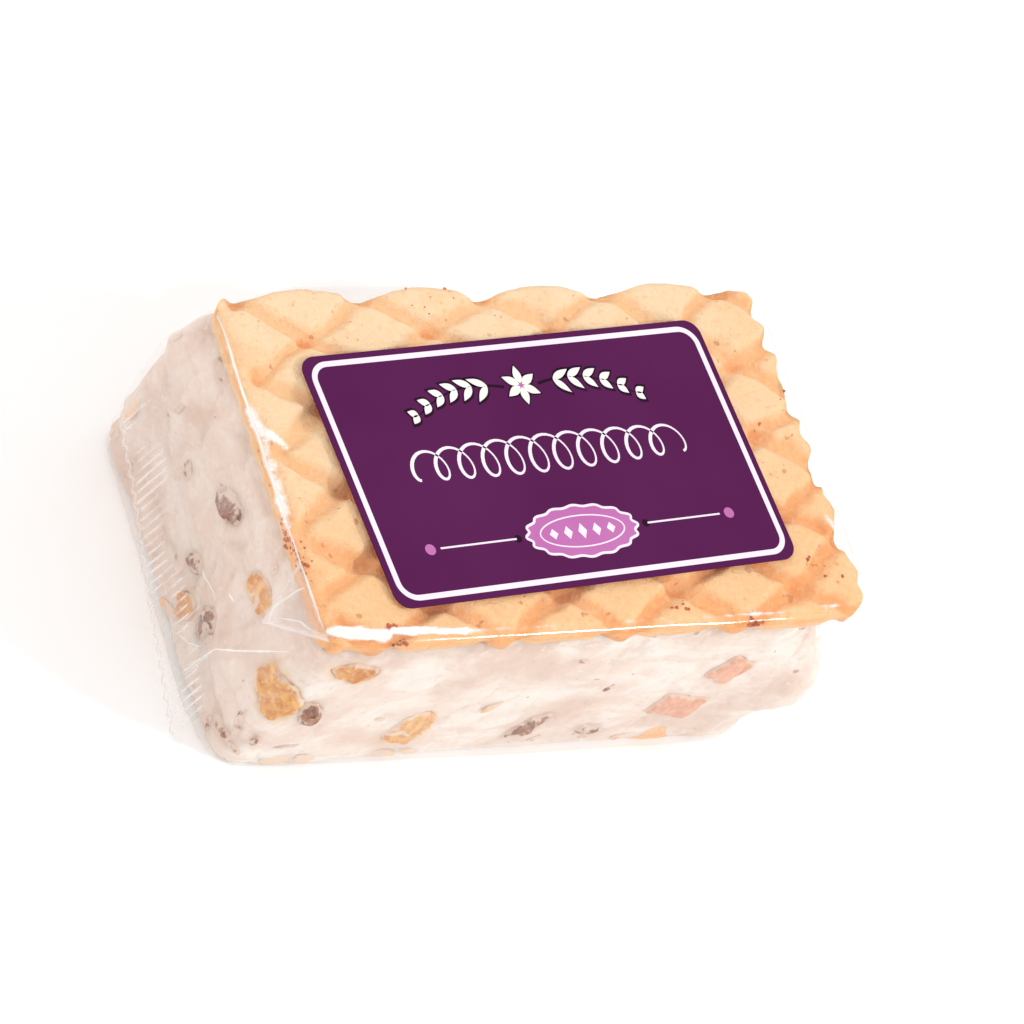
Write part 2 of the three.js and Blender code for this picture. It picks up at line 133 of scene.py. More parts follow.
def stretched(tree, coords, x, y, z):
    return made(tree, "ShaderNodeMapping", {"Vector": coords, "Scale": (x, y, z)})


def mixTint(tree, share, first, second):
    node = addNode(tree, "ShaderNodeMix", data_type="RGBA")
    fill(tree, node, {0: share, 6: first, 7: second})
    return Wire(tree, node.outputs[2])


def layered(tree, color, *layers):  # colours laid over one another, each with its share
    for share, over in layers:
        color = mixTint(tree, share, color, over)
    return color


def bump(tree, height, strength, distance):
    return made(tree, "ShaderNodeBump", {"Height": height, "Strength": strength, "Distance": distance})


def attribute(tree, name):
    return Wire(tree, addNode(tree, "ShaderNodeAttribute", attribute_name=name).outputs["Fac"])


def newFinish(name, kind="ShaderNodeBsdfPrincipled"):
    material = bpy.data.materials.new(name)
    material.use_nodes = True
    tree = material.node_tree
    tree.nodes.clear()
    surface = addNode(tree, kind)
    addNode(tree, "ShaderNodeOutputMaterial", {"Surface": surface})
    coords = Wire(tree, addNode(tree, "ShaderNodeTexCoord").outputs["Object"])
    return material, tree, surface, coords


# finishes

def waferFinish(look):
    material, tree, surface, coords = newFinish("bakedWafer")
    relief = attribute(tree, "relief")
    patches = cloud(tree, coords, 130, 4, 0.6, 0.4)
    fine = cloud(tree, coords, 900, 4, 0.65)
    flakes = cloud(tree, coords, 210, 5, 0.6, 1.0)
    x, y, _ = split(tree, coords)
    wallNormal = Wire(tree, addNode(tree, "ShaderNodeNewGeometry").outputs["Normal"])
    wall = split(tree, wallNormal)[2].run("ABSOLUTE").rise(0.6, 0.25)
    level = relief + (flakes - 0.5) * 0.5 + (fine - 0.5) * 0.2
    # darker toward the front, and painted shade toward the right end of the wafer
    darkerFrontAndShadedRight = (y.rise(0.006, -0.02) * 0.95 + x.rise(0.028, 0.046) * 0.6).run("MINIMUM", 1.0)
    pad = mixTint(tree, darkerFrontAndShadedRight, look["pad"], look["toast"])
    groove = mixTint(tree, darkerFrontAndShadedRight, look["groove"], look["seared"])
    # painted shade: the deepest pits of the embossing turn to the darker, more orange pit colour
    groove = mixTint(tree, level.rise(-0.1, 0.4), look["pit"], groove)
    veins = (cloud(tree, coords, 330, 3, 0.55, 1.5) - 0.5).run("ABSOLUTE")
    crackle = veins.rise(0.016, 0.0) * flakes.rise(0.42, 0.55)
    specks = cloud(tree, coords, 620, 1, 0.4)
    pores = cloud(tree, coords, 1500, 2, 0.6)
    height = fine * 0.7 + pores * 0.4 + patches * 0.9 + flakes * 0.6
    fill(tree, surface, {
        # painted shade in the embossing: the light pad colour only on the raised pads, the darker groove colour
        # below them
        "Base Color": layered(
            tree, groove, (level.rise(0.45, 0.9), pad), (patches.rise(0.45, 0.66) * 0.4, look["toast"]),
            (fine.rise(0.5, 0.7) * 0.35, look["pad"]), (fine.rise(0.45, 0.3) * 0.4, look["seared"]),
            (wall * flakes.rise(0.35, 0.6) * 0.75, look["seared"]), (crackle * 0.14, look["pit"]),
            (specks.rise(0.735, 0.765) * 0.55, look["speck"]),
        ),
        "Roughness": fine * 0.2 + 0.6, "Normal": bump(tree, height, look["bump"], 0.0006),
        "Subsurface Weight": 0.3, "Subsurface Radius": (1, 0.6, 0.25), "Subsurface Scale": 0.002,
    })
    return material


stainTints = {"raisin": tint(206, 174, 154), "peel": tint(238, 196, 146), "jelly": tint(236, 196, 174)}
smearTint = tint(234, 210, 192)  # nougat smeared over the fruit


def nougatFinish(look):
    material, tree, surface, coords = newFinish("whippedNougat")
    smear = cloud(tree, stretched(tree, coords, 0.6, 0.6, 1.4), 120, 5, 0.62, 1.2)
    blotch = cloud(tree, stretched(tree, coords, 0.7, 0.7, 1.2), 60, 4, 0.55, 0.6)
    fine = cloud(tree, coords, 700, 5, 0.65)
    rise = attribute(tree, "rise")
    x, _, z = split(tree, coords)
    specks = cloud(tree, coords, 520, 1, 0.4)
    pits = addNode(tree, "ShaderNodeTexVoronoi", {"Vector": coords, "Scale": 620})
    foam = Wire(tree, pits.outputs["Distance"])
    height = fine * 0.6 + foam.rise(0, 0.5) * 0.3 + smear * 0.9
    soaked = fine * 0.5 + 0.45
    stains = [(attribute(tree, kind).rise(0, 1) * soaked, juice) for kind, juice in stainTints.items()]
    fill(tree, surface, {
        "Base Color": layered(
            tree, look["white"], (smear.rise(0.36, 0.62), look["cream"]),
            # painted shade: the second term tints the left end of the nougat darker and pinker
            (blotch.rise(0.48, 0.68) * 0.75, look["blush"]), (x.rise(-0.041, -0.0465) * 0.4, look["blush"]),
            # painted shade: a darker band along the top of the nougat, under the overhang of the upper wafer
            (z.rise(0.029, 0.0335) * smear.rise(0.35, 0.6) * 0.6, look["shade"]),
            # painted shade in the hollows and painted highlight on the raised lumps, read from the rise
            # attribute
            (rise.rise(0.4, 0.05) * 0.6, look["shade"]), (rise.rise(0.6, 0.9) * 0.6, look["white"]),
            (fine.rise(0.46, 0.3) * 0.5, look["blush"]), (fine.rise(0.56, 0.72) * 0.6, look["white"]),
            (specks.rise(0.75, 0.78) * 0.6, look["speck"]), *stains,
        ),
        "Roughness": fine * 0.25 + 0.45, "Normal": bump(tree, height, look["bump"], 0.0006),
        "Subsurface Weight": 0.35, "Subsurface Radius": (1, 0.75, 0.6), "Subsurface Scale": 0.003,
    })
    return material


def fruitFinish(name, look):
    material, tree, surface, coords = newFinish(name)
    mottle = cloud(tree, coords, look["grain"], 4, 0.6, 0.5)
    dust = cloud(tree, coords, look["grain"] * 2.6, 3, 0.6)
    layers = [(mottle.rise(0.35, 0.68), look["light"]), (dust.rise(0.5, 0.7) * look["sugar"], look["crust"])]
    if look["smear"]:
        flecks = cloud(tree, coords, 700, 5, 0.7, 0.6) - 0.5
        clear = (attribute(tree, "bare") * look["shows"] + flecks * look["flecks"]).rise(0.25, 0.8)
        layers.append((clear.flip() * look["smear"], smearTint))
    fill(tree, surface, {
        "Base Color": layered(tree, look["dark"], *layers), "Roughness": dust * 0.3 + look["dull"],
        "Normal": bump(tree, mottle * 0.7 + dust * 0.3, 0.5, 0.0005), "Specular IOR Level": look["gloss"],
        "Subsurface Weight": look["glow"], "Subsurface Radius": (1, 0.8, 0.5), "Subsurface Scale": 0.0015,
    })
    return material


def printFinish(name, light, dark, dull):
    material, tree, surface, coords = newFinish(name)
    wash = cloud(tree, coords, 40, 2)
    grain = cloud(tree, coords, 2600, 2)
    fill(tree, surface, {
        "Base Color": mixTint(tree, wash.rise(0.3, 0.7), dark, light), "Roughness": grain * 0.12 + dull,
        "Normal": bump(tree, grain, 0.08, 0.0001), "Specular IOR Level": 0.06,
    })
    return material


def filmFinish(name, look):  # clear where flat, brighter at a glancing view, milky where creased, with painted highlight streaks where the glare attribute is set
    material, tree, veil, coords = newFinish(name, "ShaderNodeMixShader")
    normal = bump(tree, cloud(tree, coords, 260, 2, 0.6), look["bump"], 0.0004)
    facing = Wire(tree, addNode(tree, "ShaderNodeLayerWeight", {"Normal": normal}).outputs["Facing"])
    mirror = facing.run("POWER", 4.0) * look["edge"] + look["face"]
    speckle = cloud(tree, coords, 300, 4, 0.6, 0.8) - 0.5
    # painted highlight: white streaks laid along the glare attribute, broken up by speckle
    glare = (attribute(tree, "glare") + speckle * 1.8).rise(0.4, 1.1) * attribute(tree, "glare").rise(0.0, 0.3)
    creaseWhiteAndGlare = attribute(tree, "crease") * look["crease"] + look["haze"] + glare * 0.85
    clear = addNode(tree, "ShaderNodeBsdfTransparent", {"Color": look["through"]})
    shine = addNode(tree, "ShaderNodeBsdfAnisotropic", {
        "Normal": normal, "Color": (1, 1, 1, 1), "Roughness": look["rough"],
    })
    # milky film where creased, and a painted white highlight where the glare attribute is set
    milk = addNode(tree, "ShaderNodeBsdfPrincipled", {
        "Normal": normal, "Base Color": mixTint(tree, glare, look["milk"], look["glare"]),
        "Roughness": look["rough"], "Specular IOR Level": 1,
    })
    skin = addNode(tree, "ShaderNodeMixShader", {0: mirror, 1: clear, 2: shine})
    fill(tree, veil, {0: creaseWhiteAndGlare.run("MINIMUM", 1.0), 1: skin, 2: milk})
    return material


# meshes

def emptyCarrier():
    carrier = bpy.data.objects.new("carrier", bpy.data.meshes.new("carrier"))
    bpy.context.scene.collection.objects.link(carrier)
    return carrier


def settle(carrier):  # the carrier's mesh with its modifiers applied
    bpy.context.view_layer.update()
    seen = carrier.evaluated_get(bpy.context.evaluated_depsgraph_get())
    mesh = bpy.data.meshes.new_from_object(seen)
    bpy.data.objects.remove(carrier)
    return mesh


def freed(shape, mesh=None):  # an edited shape as a mesh
    mesh = mesh or bpy.data.meshes.new("shape")
    shape.to_mesh(mesh)
    shape.free()
    return mesh


def nodeMesh(*names):  # CAD nodes as one merged mesh
    shape = bmesh.new()
    for name in names:
        shape.from_mesh(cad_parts[name].data)
    bmesh.ops.remove_doubles(shape, verts=shape.verts, dist=1e-6)
    return freed(shape)


def bodyOf(mesh):  # a mesh that points and rays can be tested against
    return BVHTree.FromPolygons([v.co.copy() for v in mesh.vertices], [p.vertices[:] for p in mesh.polygons])


def mark(mesh, name, values):
    mesh.attributes.new(name, "FLOAT", "POINT").data.foreach_set("value", values)


def held(value):  # kept between 0 and 1
    return min(1, max(0, value))


def remeshed(mesh, voxel, smooths):
    carrier = emptyCarrier()
    carrier.data = mesh
    cells = carrier.modifiers.new("cells", "REMESH")
    cells.mode = "VOXEL"
    cells.voxel_size = voxel * mm
    soft = carrier.modifiers.new("soft", "SMOOTH")
    soft.factor = 0.5
    soft.iterations = smooths
    return settle(carrier)


def displaced(mesh, height):  # every point moved along its normal by height(point, normal), in metres
    moves = [(v, v.normal * height(v.co, v.normal)) for v in mesh.vertices]
    for vertex, move in moves:
        vertex.co += move
    return mesh


def ridges(point, size, seed):  # thin raised lines on a soft ground, 0 to 1
    value = noise.noise(point / (size * mm) + Vector((seed, seed * 1.7, -seed)))
    return 1 - min(1, abs(value) * 3.2)


def rough(point, size, seed):  # soft noise, -1 to 1
    return noise.noise(point / (size * mm) + Vector((seed, -seed, seed * 2.3)))


def makePiece(name, mesh, finish, slotName, *nodes, smooth=True):
    piece = bpy.data.objects.new(name, mesh)
    bpy.context.scene.collection.objects.link(piece)
    mesh.materials.clear()
    mesh.materials.append(finish)
    mesh.polygons.foreach_set("use_smooth", [smooth] * len(mesh.polygons))
    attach(piece, "root")
    if nodes:
        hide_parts(*nodes)
    return piece


def newTree(name, sizes):  # a geometry tree with one named input for each size
    tree = bpy.data.node_groups.new(name, "GeometryNodeTree")
    tree.interface.new_socket("Geometry", in_out="INPUT", socket_type="NodeSocketGeometry")
    tree.interface.new_socket("Geometry", in_out="OUTPUT", socket_type="NodeSocketGeometry")
    for label, value in sizes.items():
        kind = "NodeSocketInt" if isinstance(value, int) else "NodeSocketFloat"
        tree.interface.new_socket(label, in_out="INPUT", socket_type=kind)
    source = tree.nodes.new("NodeGroupInput")
    size = {label: Wire(tree, source.outputs[label]) for label in sizes}
    return tree, size, Wire(tree, source.outputs["Geometry"])


def backed(tree, sheet, way, depth, backPlace=None):  # an open sheet made a closed plate
    pushed = addNode(tree, "GeometryNodeExtrudeMesh", {
        "Mesh": sheet, "Offset": way, "Offset Scale": depth, "Individual": False,
    }, mode="FACES")
    plate = pushed
    if backPlace:
        plate = addNode(tree, "GeometryNodeSetPosition", {
            "Geometry": pushed, "Selection": Wire(tree, pushed.outputs["Top"]), "Position": backPlace,
        })
    both = addNode(tree, "GeometryNodeJoinGeometry")
    for part in (sheet, addNode(tree, "GeometryNodeFlipFaces", {"Mesh": plate})):
        feed(tree, both.inputs[0], part)
    return addNode(tree, "GeometryNodeMergeByDistance", {"Geometry": both, "Distance": 1e-6})


def closeTree(tree, geometry, finish):
    real = addNode(tree, "GeometryNodeRealizeInstances", {"Geometry": geometry})
    painted = addNode(tree, "GeometryNodeSetMaterial", {"Geometry": real, "Material": finish})
    addNode(tree, "NodeGroupOutput", {0: painted})


def grown(tree, sizes, mesh=None):  # the mesh that a tree makes from its sizes
    carrier = emptyCarrier()
    if mesh:
        carrier.data = mesh
    modifier = carrier.modifiers.new(tree.name, "NODES")
    modifier.node_group = tree
    for entry in tree.interface.items_tree:
        if entry.in_out == "INPUT" and entry.name in sizes:
            modifier[entry.identifier] = sizes[entry.name]
    return settle(carrier)


# wafers

waferSizes = {
    "Length": 92 * mm,
    "Width": 55.4 * mm,
    "Corner": 4.6 * mm,
    "Plate": 1.8 * mm,
    "Depth": 2.3 * mm,
    "Pitch X": 20.7 * mm,
    "Pitch Y": 12.2 * mm,
    "Lean": 0.1,
    "Start X": -32 * mm,
    "Start Y": 26.7 * mm,
    "Flat": 0.3,
    "Floor": 0.48,
    "Scallop pitch": 5.1 * mm,
    "Scallop": 0.42 * mm,
    "Long wave": 0.55 * mm,
    "Unevenness": 0.6 * mm,
    "Wander": 6 * mm,
    "Rim wear": 0.5 * mm,
    "Columns": 220,
    "Rows": 134,
}
waferBack = (0.984, 0.976, 0)  # the flat back is a little smaller than the face
waferLook = {
    "pad": tint(255, 219, 177),
    "toast": tint(255, 200, 142),
    # the groove and pit colours are painted shade for the hollows of the embossing
    "groove": tint(251, 200, 145),
    "seared": tint(246, 171, 102),
    "pit": tint(234, 150, 76),
    "speck": tint(190, 112, 58),
    "bump": 0.8,
}


def waferTree(finish):
    tree, size, _ = newTree("embossedWafer", waferSizes)
    grid = addNode(tree, "GeometryNodeMeshGrid", {
        "Size X": size["Length"], "Size Y": size["Width"],
        "Vertices X": size["Columns"], "Vertices Y": size["Rows"],
    })
    place = made(tree, "GeometryNodeInputPosition")
    x, y, _ = split(tree, place)
    halfLength = size["Length"] * 0.5
    halfWidth = size["Width"] * 0.5
    absX = x.run("ABSOLUTE")
    absY = y.run("ABSOLUTE")
    corner = size["Corner"] * (x.rise(-0.01, 0.01) * y.rise(0.01, -0.01) * 0.3 + 0.7)
    overX = ((absX - halfLength + corner) / corner).run("MAXIMUM", 0.0)
    overY = ((absY - halfWidth + corner) / corner).run("MAXIMUM", 0.0)
    roundX = overX * ((overY * overY * -0.5) + 1).run("SQRT")
    roundY = overY * ((overX * overX * -0.5) + 1).run("SQRT")
    wobble = [cloud(tree, place, scale, 2) - 0.5 for scale in (90.0, 75.0)]
    outX = x + x.run("SIGN") * corner * (roundX - overX)
    outY = y + y.run("SIGN") * corner * (roundY - overY)
    endWave = ((outY / size["Scallop pitch"]) * math.tau + wobble[0] * 3).run("COSINE") * size["Scallop"]
    endWave = endWave * (x.rise(-0.01, 0.01) * 0.7 + 0.3)
    sideWave = (((outX - size["Start X"]) / size["Pitch X"]) * math.tau).run("COSINE") * size["Long wave"]
    sideWave = sideWave * (y.rise(-0.01, 0.01) * 0.8 + 0.2)
    chips = (cloud(tree, place, 420.0, 3) - 0.5) * size["Unevenness"]
    away = ((absX / halfLength).rise(0.84, 0.98) * (absY / halfWidth).rise(0.76, 0.98)).flip()
    nearEnd = (absX / halfLength).rise(0.9, 1.0) * away
    nearSide = (absY / halfWidth).rise(0.86, 1.0) * away
    outX = outX + x.run("SIGN") * (endWave + chips) * nearEnd
    outY = outY + y.run("SIGN") * (sideWave + chips) * nearSide
    stepX = outX - size["Start X"] + wobble[0] * size["Wander"]
    stepY = outY - size["Start Y"] + wobble[1] * size["Wander"]
    along = (stepX - size["Lean"] * stepY) / size["Pitch X"]
    across = stepY / size["Pitch Y"]
    grooves = []
    for phase in (along + across, along - across):
        fromPad = (phase - phase.run("ROUND")).run("ABSOLUTE")
        grooves.append(fromPad.rise(size["Flat"], size["Floor"]))
    deep = grooves[0].run("MAXIMUM", grooves[1])
    cross = grooves[0].run("MINIMUM", grooves[1])
    relief = (deep * -0.55) + (cross * -0.45) + 1
    atLeft = x.rise(-0.0425, -0.0455)
    relief = relief * atLeft.flip() + atLeft * 0.8
    rim = (absX / halfLength).run("MAXIMUM", absY / halfWidth)
    worn = rim.rise(0.95, 1.0) * size["Rim wear"]
    grain = (cloud(tree, place, 300.0, 4, 0.6) - 0.5) * 0.0005
    height = size["Plate"] + size["Depth"] * relief - worn + grain
    shaped = addNode(tree, "GeometryNodeSetPosition", {
        "Geometry": grid, "Position": join(tree, outX, outY, height),
    })
    again = made(tree, "GeometryNodeInputPosition")
    top = addNode(tree, "GeometryNodeStoreNamedAttribute", {
        "Geometry": shaped, "Name": "relief", "Value": (split(tree, again)[2] - size["Plate"]) / size["Depth"],
    }, data_type="FLOAT", domain="POINT")
    flatter = addNode(tree, "ShaderNodeVectorMath", {0: again, 1: waferBack}, operation="MULTIPLY")
    closeTree(tree, backed(tree, top, (0, 0, -1), 0.001, flatter), finish)
    return tree


def brokenEdge(mesh, seed):  # the tall side walls cut into rows and crumbled
    shape = bmesh.new()
    shape.from_mesh(mesh)
    steps = [(edge, edge.verts[0].co - edge.verts[1].co) for edge in shape.edges]
    walls = [edge for edge, step in steps if abs(step.z) > 0.6 * waferSizes["Plate"] and step.xy.length < 1e-5]
    done = bmesh.ops.subdivide_edges(shape, edges=walls, cuts=6, use_grid_fill=True)
    fresh = [v for v in done["geom_inner"] if isinstance(v, bmesh.types.BMVert)]
    shape.normal_update()
    for vertex in fresh:
        flat = Vector((vertex.normal.x, vertex.normal.y, 0)).normalized()
        push = 0.2 * rough(vertex.co, 1.1, seed) + 0.25 * rough(vertex.co, 3, seed + 4) - 0.08
        vertex.co += flat * push * mm
    return freed(shape, mesh)


bakedWafer = waferFinish(waferLook)
embossing = waferTree(bakedWafer)
upperWafer = brokenEdge(grown(embossing, waferSizes), 3)
upperWafer.transform(Matrix.Translation(at(0, 0, 0) + Vector((0, 0, waferLow.z))))
makePiece("waferTop", upperWafer, bakedWafer, "wafer", "wafer_top")

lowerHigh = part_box("wafer_bottom")[1]
lowerSizes = dict(waferSizes, Length=87.4 * mm, Width=51.6 * mm, Depth=1.6 * mm, Columns=150, Rows=92)
lowerWafer = brokenEdge(grown(embossing, lowerSizes), 8)
skew = Matrix.Rotation(math.radians(-1.6), 4, "Z") @ Matrix.Rotation(math.pi, 4, "X")
lowerWafer.transform(Matrix.Translation(at(-0.6, -0.3, 0) + Vector((0, 0, lowerHigh.z))) @ skew)
makePiece("waferBottom", lowerWafer, bakedWafer, "wafer", "wafer_bottom")
print("wafers done")


# crumbs of the wafers

crumbSizes = {"Density": 60000.0, "Smallest": 0.12 * mm, "Largest": 0.42 * mm, "Seed": 4}
crumbSpots = (  # millimetres, then how many and how far they spread
    (-35.2, -26.6, 38, 26, 1.5), (-33.6, -27.4, 36.4, 12, 1.0), (25.1, -27.9, 36.6, 16, 1.2),
    (-46.4, -8.6, 35.6, 14, 1.6), (-46.6, -12, 36.2, 18, 1.8), (-46.3, -15, 37.0, 16, 1.6),
    (-30, 6, 37.2, 5, 2), (12, -25, 37, 6, 4), (40, -20, 37, 6, 4), (44, 6, 36, 8, 5), (-12, 26, 37, 8, 6),
)
paleCrumb = fruitFinish("paleCrumb", {
    "dark": tint(240, 176, 106), "light": tint(253, 208, 150), "crust": tint(255, 226, 184),
    "grain": 900, "sugar": 0.5, "dull": 0.6, "glow": 0.05, "smear": 0, "gloss": 0.2,
})
redCrumb = fruitFinish("toastedCrumb", {
    "dark": tint(168, 76, 40), "light": tint(230, 120, 74), "crust": tint(244, 170, 124),
    "grain": 900, "sugar": 0.4, "dull": 0.5, "glow": 0.05, "smear": 0, "gloss": 0.2,
})


def crumbTree(finish):
    tree, size, guide = newTree("crumbs", crumbSizes)
    place = made(tree, "GeometryNodeInputPosition")
    worn = cloud(tree, place, 160.0, 2).rise(0.45, 0.7)
    spread = addNode(tree, "GeometryNodeDistributePointsOnFaces", {
        "Mesh": guide, "Density": size["Density"] * worn, "Seed": size["Seed"],
    })
    grain = addNode(tree, "GeometryNodeMeshIcoSphere", {"Radius": 1.0, "Subdivisions": 1})
    turn = addNode(tree, "FunctionNodeRandomValue", {
        "Seed": size["Seed"], "Max": (6.3, 6.3, 6.3),
    }, data_type="FLOAT_VECTOR")
    thick = addNode(tree, "FunctionNodeRandomValue", {
        "Seed": size["Seed"], 2: size["Smallest"], 3: size["Largest"],
    }, data_type="FLOAT")
    wide = Wire(tree, thick.outputs[1])
    placed = addNode(tree, "GeometryNodeInstanceOnPoints", {
        "Points": spread, "Instance": grain, "Scale": join(tree, wide, wide * 0.7, wide * 0.5),
    })
    rolled = addNode(tree, "GeometryNodeRotateInstances", {"Instances": placed, "Rotation": turn})
    closeTree(tree, rolled, finish)
    return tree


def crumbClusters():  # loose toasted crumbs at the rim of the upper wafer
    chance = random.Random(12)
    near = bodyOf(upperWafer)
    shape = bmesh.new()
    for x, y, z, count, spread in crumbSpots:
        for _ in range(count):
            spot = at(*[middle + chance.gauss(0, spread / 2) for middle in (x, y, z)])
            spot = near.find_nearest(spot)[0]
            size = chance.uniform(0.1, 0.42) * mm
            ball = bmesh.ops.create_icosphere(shape, subdivisions=1, radius=size)
            for vertex in ball["verts"]:
                vertex.co *= chance.uniform(0.6, 1.2)
            bmesh.ops.translate(shape, vec=spot, verts=ball["verts"])
    return freed(shape)


crumbs = grown(crumbTree(paleCrumb), crumbSizes, upperWafer)
makePiece("waferCrumbs", crumbs, paleCrumb, "wafer")
makePiece("toastedCrumbs", crumbClusters(), redCrumb, "wafer")
print("crumbs done", len(crumbs.polygons))


# nougat

nougatLook = {
    "cell": 0.5,
    "lump": 0.4,
    "tear": 0.26,
    "grain": 0.13,
    "skirt": 2.6,
    "skirtTop": 6,
    "skirtSteps": 240,
    "squareness": 16,
    "underside": 0.4,
    "rim": (45.4, 27.3),
    "hollow": 3.2,
    "swells": (  # middle, reach and height of bulges, in millimetres
        ((-46, 27.5, 19), (5, 5, 15), 2.3),
        ((47.5, -25.5, 18), (5, 6, 7), 3.0),
        ((47, -6, 15), (5, 16, 11), 0.7),
    ),
    "white": tint(246, 234, 224),
    "cream": tint(236, 215, 200),
    "blush": tint(222, 190, 171),
    "shade": tint(196, 163, 142),
    "speck": tint(150, 110, 80),
    "bump": 0.5,
}


def sideHit(tree, turn, height):  # where a level ray from outside meets a body
    out = Vector((math.cos(turn), math.sin(turn), 0))
    start = at(0, 0, height) + out * 0.1
    spot = tree.ray_cast(start, -out)[0]
    return spot - at(0, 0, height)


def skirtMesh(shape):  # the nougat that hangs over the rim of the lower wafer
    body = bodyOf(shape)
    count = nougatLook["skirtSteps"]
    power = nougatLook["squareness"]
    turns = [math.tau * k / count for k in range(count)]
    feet = [sideHit(body, turn, nougatLook["skirtTop"]) for turn in turns]
    rings = []
    for low, inset in ((True, 0.1), (False, 0), (False, 1), (True, 1)):
        ring = []
        for k, turn in enumerate(turns):
            way = Vector((math.cos(turn), math.sin(turn), 0))
            parts = [abs(part) / (half * mm) for half, part in zip(nougatLook["rim"], way)]
            rim = sum(part ** power for part in parts) ** (-1 / power)
            near = max(feet[k].length, rim)
            reach = near - inset * nougatLook["skirt"] * mm
            height = nougatLook["underside"] if low else nougatLook["skirtTop"]
            ring.append(at(0, 0, height) + way * reach)
        rings.append(ring)
    ring = bmesh.new()
    rows = [[ring.verts.new(spot) for spot in row] for row in rings]
    for j in range(4):
        lower, upper = rows[j], rows[(j + 1) % 4]
        for k in range(count):
            n = (k + 1) % count
            ring.faces.new((lower[k], lower[n], upper[n], upper[k]))
    ring.from_mesh(shape)
    return freed(ring)


def swellAt(point):  # how far the nougat bulges near a point, in millimetres
    total = 0
    for spot, reach, swell in nougatLook["swells"]:
        shares = [(part / (size * mm)) ** 2 for part, size in zip(point - at(*spot), reach)]
        total += swell * math.exp(-sum(shares))
    return total


def nougatHeight(point, normal):
    side = 1 - abs(normal.z)
    upright = Vector((point.x, point.y, point.z * 0.55))
    onEnd = held(abs(normal.x) * 2 - 0.9)
    lump = nougatLook["lump"] * (1 + 0.7 * onEnd) * rough(upright, 5.5, 2)
    tear = nougatLook["tear"] * (0.4 - ridges(upright, 4.2, 7))
    grain = nougatLook["grain"] * rough(point, 0.8, 11)
    lift = 0.45 if normal.z > 0.6 and point.z > nougatHigh.z - mm else 0
    lift += side * swellAt(point)
    riseValues.append(0.5 + (lump + tear + grain) * 0.7)
    return ((lump + tear + grain) * side + lift) * mm


fruitNodes = sorted(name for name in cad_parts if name.split("_")[0] in stainTints)
whippedNougat = nougatFinish(nougatLook)
riseValues = []
nougatMesh = displaced(remeshed(skirtMesh(nodeMesh("nougat")), nougatLook["cell"], 3), nougatHeight)
for vertex in nougatMesh.vertices:
    if vertex.normal.z < -0.5 and vertex.co.z < nougatLook["hollow"] * mm:
        vertex.co.z = max(vertex.co.z, nougatLook["underside"] * mm)
mark(nougatMesh, "rise", riseValues)
for kind in stainTints:
    near = bodyOf(nodeMesh(*[name for name in fruitNodes if name.startswith(kind)]))
    values = []
    for vertex in nougatMesh.vertices:
        gap = near.find_nearest(vertex.co, 3 * mm)[3]
        reach = 1.7 + 1.2 * rough(vertex.co, 2.4, 5)
        values.append(0.0 if gap is None else max(0.0, 1 - gap / (reach * mm)))
    mark(nougatMesh, kind, values)
makePiece("nougatBlock", nougatMesh, whippedNougat, "nougat", "nougat")
nougatSkin = bodyOf(nougatMesh)
print("nougat done", len(nougatMesh.polygons))


# fruit

fruitLooks = {
    "raisin": {
        "dark": tint(112, 54, 28), "light": tint(170, 112, 76), "crust": tint(204, 160, 130), "grain": 620,
        "sugar": 0.4, "dull": 0.45, "glow": 0.1, "gloss": 0.2, "wrinkle": 0.5, "swell": 0.5, "smear": 0.9,
        "broken": 0.5, "edge": 0.6, "flecks": 2.4, "shows": 0.78,
    },
    "peel": {
        "dark": tint(212, 134, 50), "light": tint(240, 184, 106), "crust": tint(248, 214, 164), "grain": 420,
        "sugar": 0.5, "dull": 0.4, "glow": 0.25, "gloss": 0.3, "wrinkle": 0.55, "swell": 0.5, "smear": 0.85,
        "broken": 0.3, "edge": 0.6, "flecks": 1.6, "shows": 0.9,
    },
    "jelly": {
        "dark": tint(218, 150, 116), "light": tint(234, 172, 138), "crust": tint(242, 200, 174), "grain": 300,
        "sugar": 0.4, "dull": 0.4, "glow": 0.25, "gloss": 0.3, "wrinkle": 0.3, "swell": 0.5, "smear": 0.85,
        "broken": 0.26, "edge": 0.6, "flecks": 1.2, "shows": 0.9,
    },
}
fruitFinishes = {kind: fruitFinish(kind + "Flesh", look) for kind, look in fruitLooks.items()}


def markBare(mesh, broken, edge):  # how far each point of a fruit stands clear of the nougat, 0 to 1
    values = []
    for vertex in mesh.vertices:
        spot, normal, _, _ = nougatSkin.find_nearest(vertex.co)
        proud = (vertex.co - spot).dot(normal) / mm
        smear = rough(vertex.co, 1.3, 3) + 0.8 * rough(vertex.co, 2.8, 6) + 0.5 * rough(vertex.co, 0.6, 9)
        values.append(held((proud - 0.02 - broken * 0.2 + broken * smear) / edge))
    mark(mesh, "bare", values)


def fruitMesh(mesh, kind, seed):
    look = fruitLooks[kind]

    def height(point, normal):
        fold = look["wrinkle"] * (ridges(point, 2.6, seed) - 0.4 + 0.5 * rough(point, 3.2, seed + 1))
        return (look["swell"] + fold + 0.15 * rough(point, 0.9, seed)) * mm
    shaped = displaced(remeshed(mesh, 0.22, 4), height)
    pushes = [nougatSkin.find_nearest(vertex.co)[1] * swellAt(vertex.co) for vertex in shaped.vertices]
    shaped.transform(Matrix.Translation(sum(pushes, Vector()) / len(pushes) * mm))
    markBare(shaped, look["broken"], look["edge"])
    return shaped


for count, node in enumerate(fruitNodes):
    kind = node.split("_")[0]
    piece = "".join([kind, *[word.capitalize() for word in node.split("_")[1:]]])
    makePiece(piece, fruitMesh(nodeMesh(node), kind, count + 3), fruitFinishes[kind], kind, node)
print("fruit done", len(fruitNodes))


# small bits in the nougat

